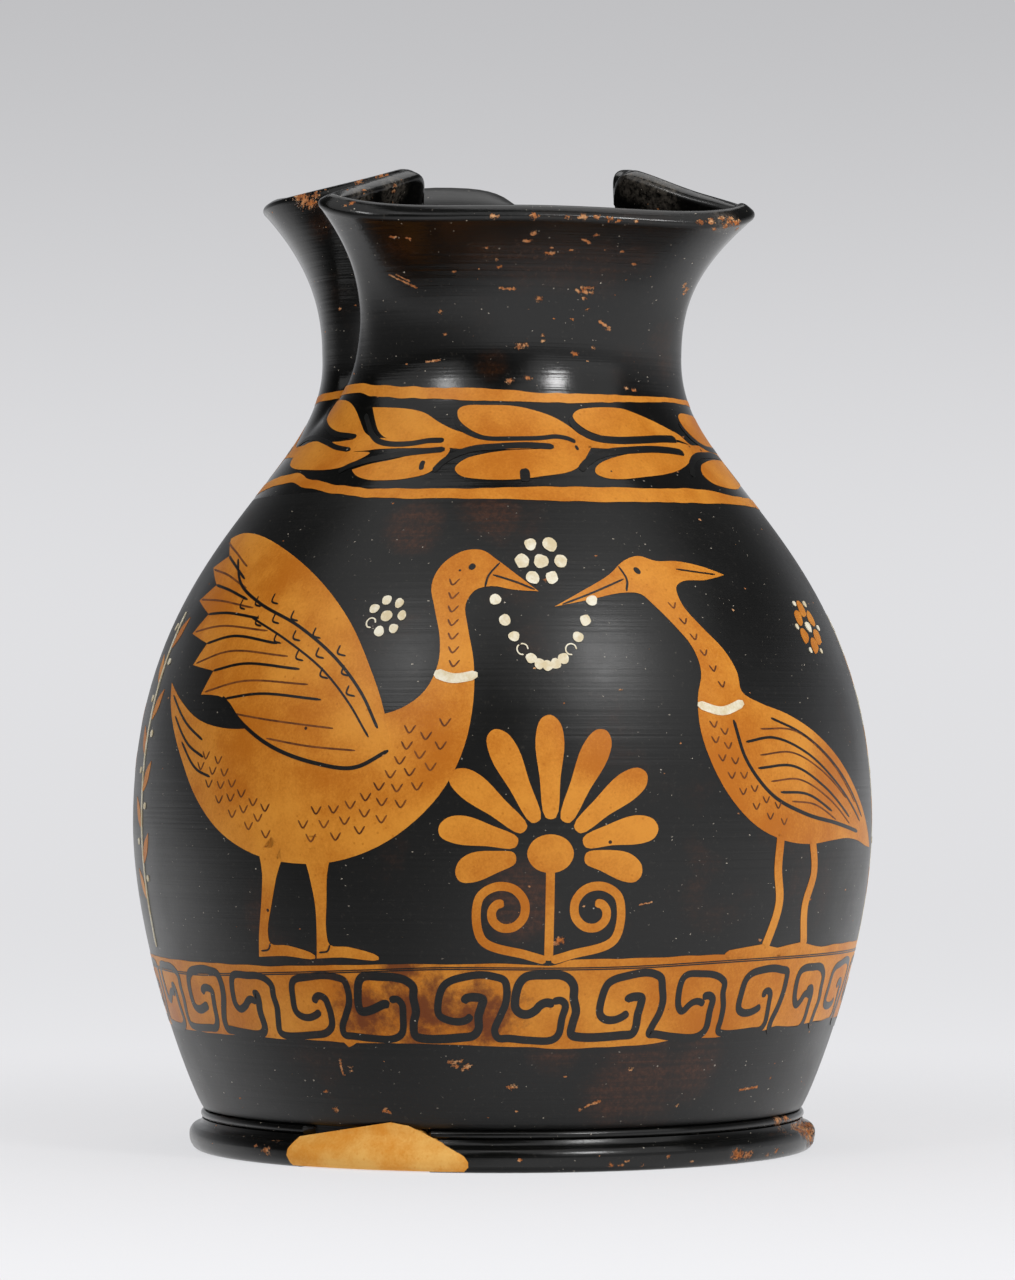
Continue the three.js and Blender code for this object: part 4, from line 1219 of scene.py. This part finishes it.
def ring_of_dabs(sheet, x, y, reach, count, radius, first=0, lost=None, swell=0.0):
    """Adds dabs in a ring. first turns the ring, in degrees, and one of the dabs may be lost."""
    for dab in range(count):
        angle = math.radians(first + dab / count * 360)
        paint = lost_dab if dab == lost else disc
        size = radius + swell * math.sin(dab * 2.4)
        paint(sheet, x + reach * math.cos(angle), y + reach * math.sin(angle), size)


def reed_leaf(leaf):
    """The outline of a reed's leaf, counted from the foot and set left and right by turns."""
    side = 1 if leaf % 2 else -1
    lean = side * math.radians(38)
    along = Vector((math.sin(lean), math.cos(lean))) * 9
    across = Vector((math.cos(lean), -math.sin(lean))) * 9
    root = Vector((side * 0.6, 12 + leaf * 8.5))
    return [tuple(root + along * far + across * wide) for far, wide in (
        (0, 0.02), (0.3, 0.15), (0.6, 0.16), (1, 0), (1, 0), (0.6, -0.16), (0.3, -0.15), (0, -0.02))]


rosette = bmesh.new()
ring_of_dabs(rosette, *rosette_place, 4.3, 6, 1.9, first=30)
lay_on_wall(rosette, picture_place(heron_turn), clay_lift)
picture_sheets = [
    picture_sheet(swan_turn, [swan_body, swan_leg, swan_far_leg]),
    picture_sheet(swan_turn, [swan_wing], lift=clay_lift + 0.02),
    picture_sheet(heron_turn, [heron_body], heron_limbs),
    palmette(plant_turn, 31, 24, 9, 2.0), rosette]
picture_sheets += [picture_sheet(turn, [reed_leaf(leaf) for leaf in range(8)]) for turn in reed_turns]
picture_sheets += [palmette(turn, size, size, 11, 2.8) for turn, size in ((180, 44), (108, 40), (-118, 40))]
picture = fire("picture_reserved", join_clays(picture_sheets), reserved_clay)
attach(picture, "root")

swan_lines = [
    ([(22, 47), (14, 43.2), (4, 44.2), (-8, 47.8), (-18, 53.2), (-26, 59.4)], 0.9),
    ([(19, 52), (14, 60), (6, 68), (-6, 75.5), (-20, 81), (-30, 86), (-36, 92)], 0.7),
    ([(17, 50), (11, 58), (3, 65.5), (-9, 72.5), (-22, 78)], 0.5),
    ([(-42, 93), (-36, 90.5), (-29, 87)], 0.6), ([(-42, 86), (-34, 84.5), (-25, 82)], 0.6),
    ([(-40.5, 79), (-31, 79), (-19, 77.5)], 0.6), ([(-37, 72), (-26, 73.5), (-11, 71.5)], 0.6),
    ([(-31.5, 65.5), (-20, 67), (-3, 65.5)], 0.6), ([(-25, 59), (-13, 60), (4, 58.5)], 0.6),
    ([(-49, 60), (-40, 53.5), (-32, 49.5)], 0.6), ([(-46, 55), (-38, 48.5), (-31, 45.5)], 0.6),
    ([(-41, 49), (-34, 43), (-28, 41)], 0.6),
    ([(39.2, 89.6), (37.6, 86.6), (37.6, 84)], 0.5), ([(38.5, 86.8), (44, 85.2), (49, 83.4)], 0.4),
    ([(6.4, 3.2), (5.6, 1.8), (3.4, 1.4)], 0.4), ([(-10, 3.2), (-10.8, 1.8), (-13, 1.4)], 0.4)]
for row in range(3):
    for step in range(6 - row):
        x, y = 12 - step * 7.5 - row * 2, 60.5 + step * 4.1 + row * 4.6
        swan_lines.append(([(x - 1.3, y + 1.2), (x - 1.6, y - 0.6), (x + 0.6, y - 1.3)], 0.45))
heron_lines = [
    ([(-12, 54), (-9.5, 45), (-2, 37), (10, 32.5), (24, 30.2), (38, 28)], 0.9),
    ([(-9, 49), (0, 50), (12, 46.5), (26, 39), (40, 30.5)], 0.6),
    ([(-6, 43), (6, 43.5), (18, 39), (32, 31.5)], 0.6),
    ([(1, 37.5), (11, 37), (22, 33)], 0.6), ([(0, 54.5), (12, 50.5), (26, 43), (42, 31.5)], 0.6),
    ([(-30.8, 89), (-30.2, 86), (-31.5, 83.2)], 0.5), ([(-31, 86), (-40, 82.7), (-48, 80)], 0.4),
    ([(-16, 88.6), (-10, 88), (-5, 87.6)], 0.4)]
swan_washes = [[(-47.5, 96.5), (-38, 93.5), (-30, 90)], [(-48.5, 90), (-38, 88.3), (-27, 84.8)],
               [(-48, 82.7), (-36, 82), (-22, 80)], [(-45, 74.9), (-32, 76), (-15, 74.5)],
               [(-40, 67.4), (-26, 70), (-7, 68.5)], [(-33.5, 60.6), (-19, 63), (0, 62)],
               [(-22, 55.6), (-10, 54), (8, 52)], [(-10, 49.8), (2, 48), (14, 47)]]
heron_washes = [[(-4, 52), (8, 51.6), (22, 45), (36, 35)], [(-5, 46), (6, 46.6), (18, 42.4), (30, 36)],
                [(-2, 40), (8, 40.4), (20, 36.2), (32, 30)], [(5, 35.4), (14, 34.6), (24, 31)]]
swan_breast = [(38.5, 57), (37.8, 48), (34, 40), (28, 33), (20, 27.5), (10, 24.5), (-1, 24)]
swan_rump = [(-6, 24), (-15, 27), (-24, 32), (-31, 38), (-37, 45)]
heron_breast = [(-20.6, 55), (-20.8, 49), (-18, 42), (-13, 35.5), (-6, 30), (2, 27.5)]


def barb(sheet, x, y, size, rise, fall):
    brush(sheet, [(x - size, y + rise), (x, y - fall), (x + size, y + rise)], 0.4)


def feather_rows(sheet, contour, heart, rows, size):
    """Adds rows of small feather strokes that follow a contour and close in on its heart."""
    for row in range(rows):
        shrink = 0.87 - row * 0.13
        line = curve_through([Vector(heart).lerp(Vector(spot), shrink) for spot in contour], 3)
        for spot in line[1 + row % 2::2]:
            barb(sheet, *spot, size, size * 0.8, size * 0.5)


ink_sheets = []
for turn, lines, eye, lift in ((swan_turn, swan_lines, (33.2, 88.6), line_lift + 0.02),
                               (heron_turn, heron_lines, (-26.6, 88), line_lift)):
    sheet = bmesh.new()
    for path, width in lines:
        brush(sheet, path, width)
    disc(sheet, *eye, 0.75)
    lay_on_wall(sheet, picture_place(turn), lift)
    ink_sheets.append(sheet)
ink = fire("picture_relief_lines", join_clays(ink_sheets), gloss_lines)
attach(ink, "root")

swan_wash = bmesh.new()
for path in swan_washes:
    brush(swan_wash, path, 0.45)
feather_rows(swan_wash, swan_breast, (8, 48), 3, 1.3)
feather_rows(swan_wash, swan_rump, (-10, 48), 3, 1.3)
for step in range(7):
    barb(swan_wash, 34.6 - step * 0.75, 66.5 + step * 3.1, 1.2, 0.8, 0.6)
lay_on_wall(swan_wash, picture_place(swan_turn), line_lift)
heron_wash = bmesh.new()
for path in heron_washes:
    brush(heron_wash, path, 0.4)
feather_rows(heron_wash, heron_breast, (2, 52), 2, 1.1)
for step in range(6):
    barb(heron_wash, -13.5 - step * 1.5, 62 + step * 3.6, 1.0, 0.8, 0.5)
lay_on_wall(heron_wash, picture_place(heron_turn), line_lift)
brown_wash = matt_clay("brown_wash", (84, 42, 14), (132, 74, 28), 300, 0.4, 0.2)
wash = fire("picture_wash_lines", join_clays([swan_wash, heron_wash]), brown_wash)
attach(wash, "root")


# Added paint. A creamy slip dabbed over the black after the drawing, thick enough to stand up, and worn
# away in places: the birds' neck bands, the beads of the cord, the dots of the rosettes and the reeds' stems.
cord_half, cord_low, cord_hang = 11, 66, 15
cord_beads, lost_beads = 13, (3, 9)
cream_slip = matt_clay("cream_slip", (226, 208, 168), (250, 243, 222), 240, 0.6, 0.5)
on_swan, on_heron, on_plant = bmesh.new(), bmesh.new(), bmesh.new()
brush(on_swan, [(30.6, 64.5), (35, 63.2), (40.4, 64)], 2.2, blunt=0.2)
disc(on_swan, 16.5, 77.5, 1.3)
ring_of_dabs(on_swan, 16.5, 77.5, 3.7, 7, 1.1, lost=4)
brush(on_heron, [(-21.4, 57.5), (-15, 56), (-8.2, 58)], 2.0, blunt=0.2)
disc(on_heron, *rosette_place, 1.3)
ring_of_dabs(on_heron, *rosette_place, 6.4, 6, 0.7)
for bead in range(cord_beads):
    share = bead / (cord_beads - 1) * 2 - 1
    paint = lost_dab if bead in lost_beads else disc
    paint(on_plant, share * cord_half, cord_low + cord_hang * share * share, 1.25)
ring_of_dabs(on_plant, 0, 90, 4.4, 6, 1.5, swell=0.15)
disc(on_plant, 0, 90, 1.6)
cream_sheets = [(on_swan, swan_turn), (on_heron, heron_turn), (on_plant, plant_turn)]
for reed_turn in reed_turns:
    sheet = bmesh.new()
    brush(sheet, [(0, 0.6), (0.5, 25), (-0.4, 50), (0, 80)], 0.8)
    for berry in range(8):
        disc(sheet, -3.2 if berry % 2 else 3.2, 17 + berry * 8.5, 0.85)
    cream_sheets.append((sheet, reed_turn))
for sheet, turn in cream_sheets:
    lay_on_wall(sheet, picture_place(turn), paint_lift)
cream = fire("cream_paint", join_clays([sheet for sheet, turn in cream_sheets]), cream_slip)
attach(cream, "root")
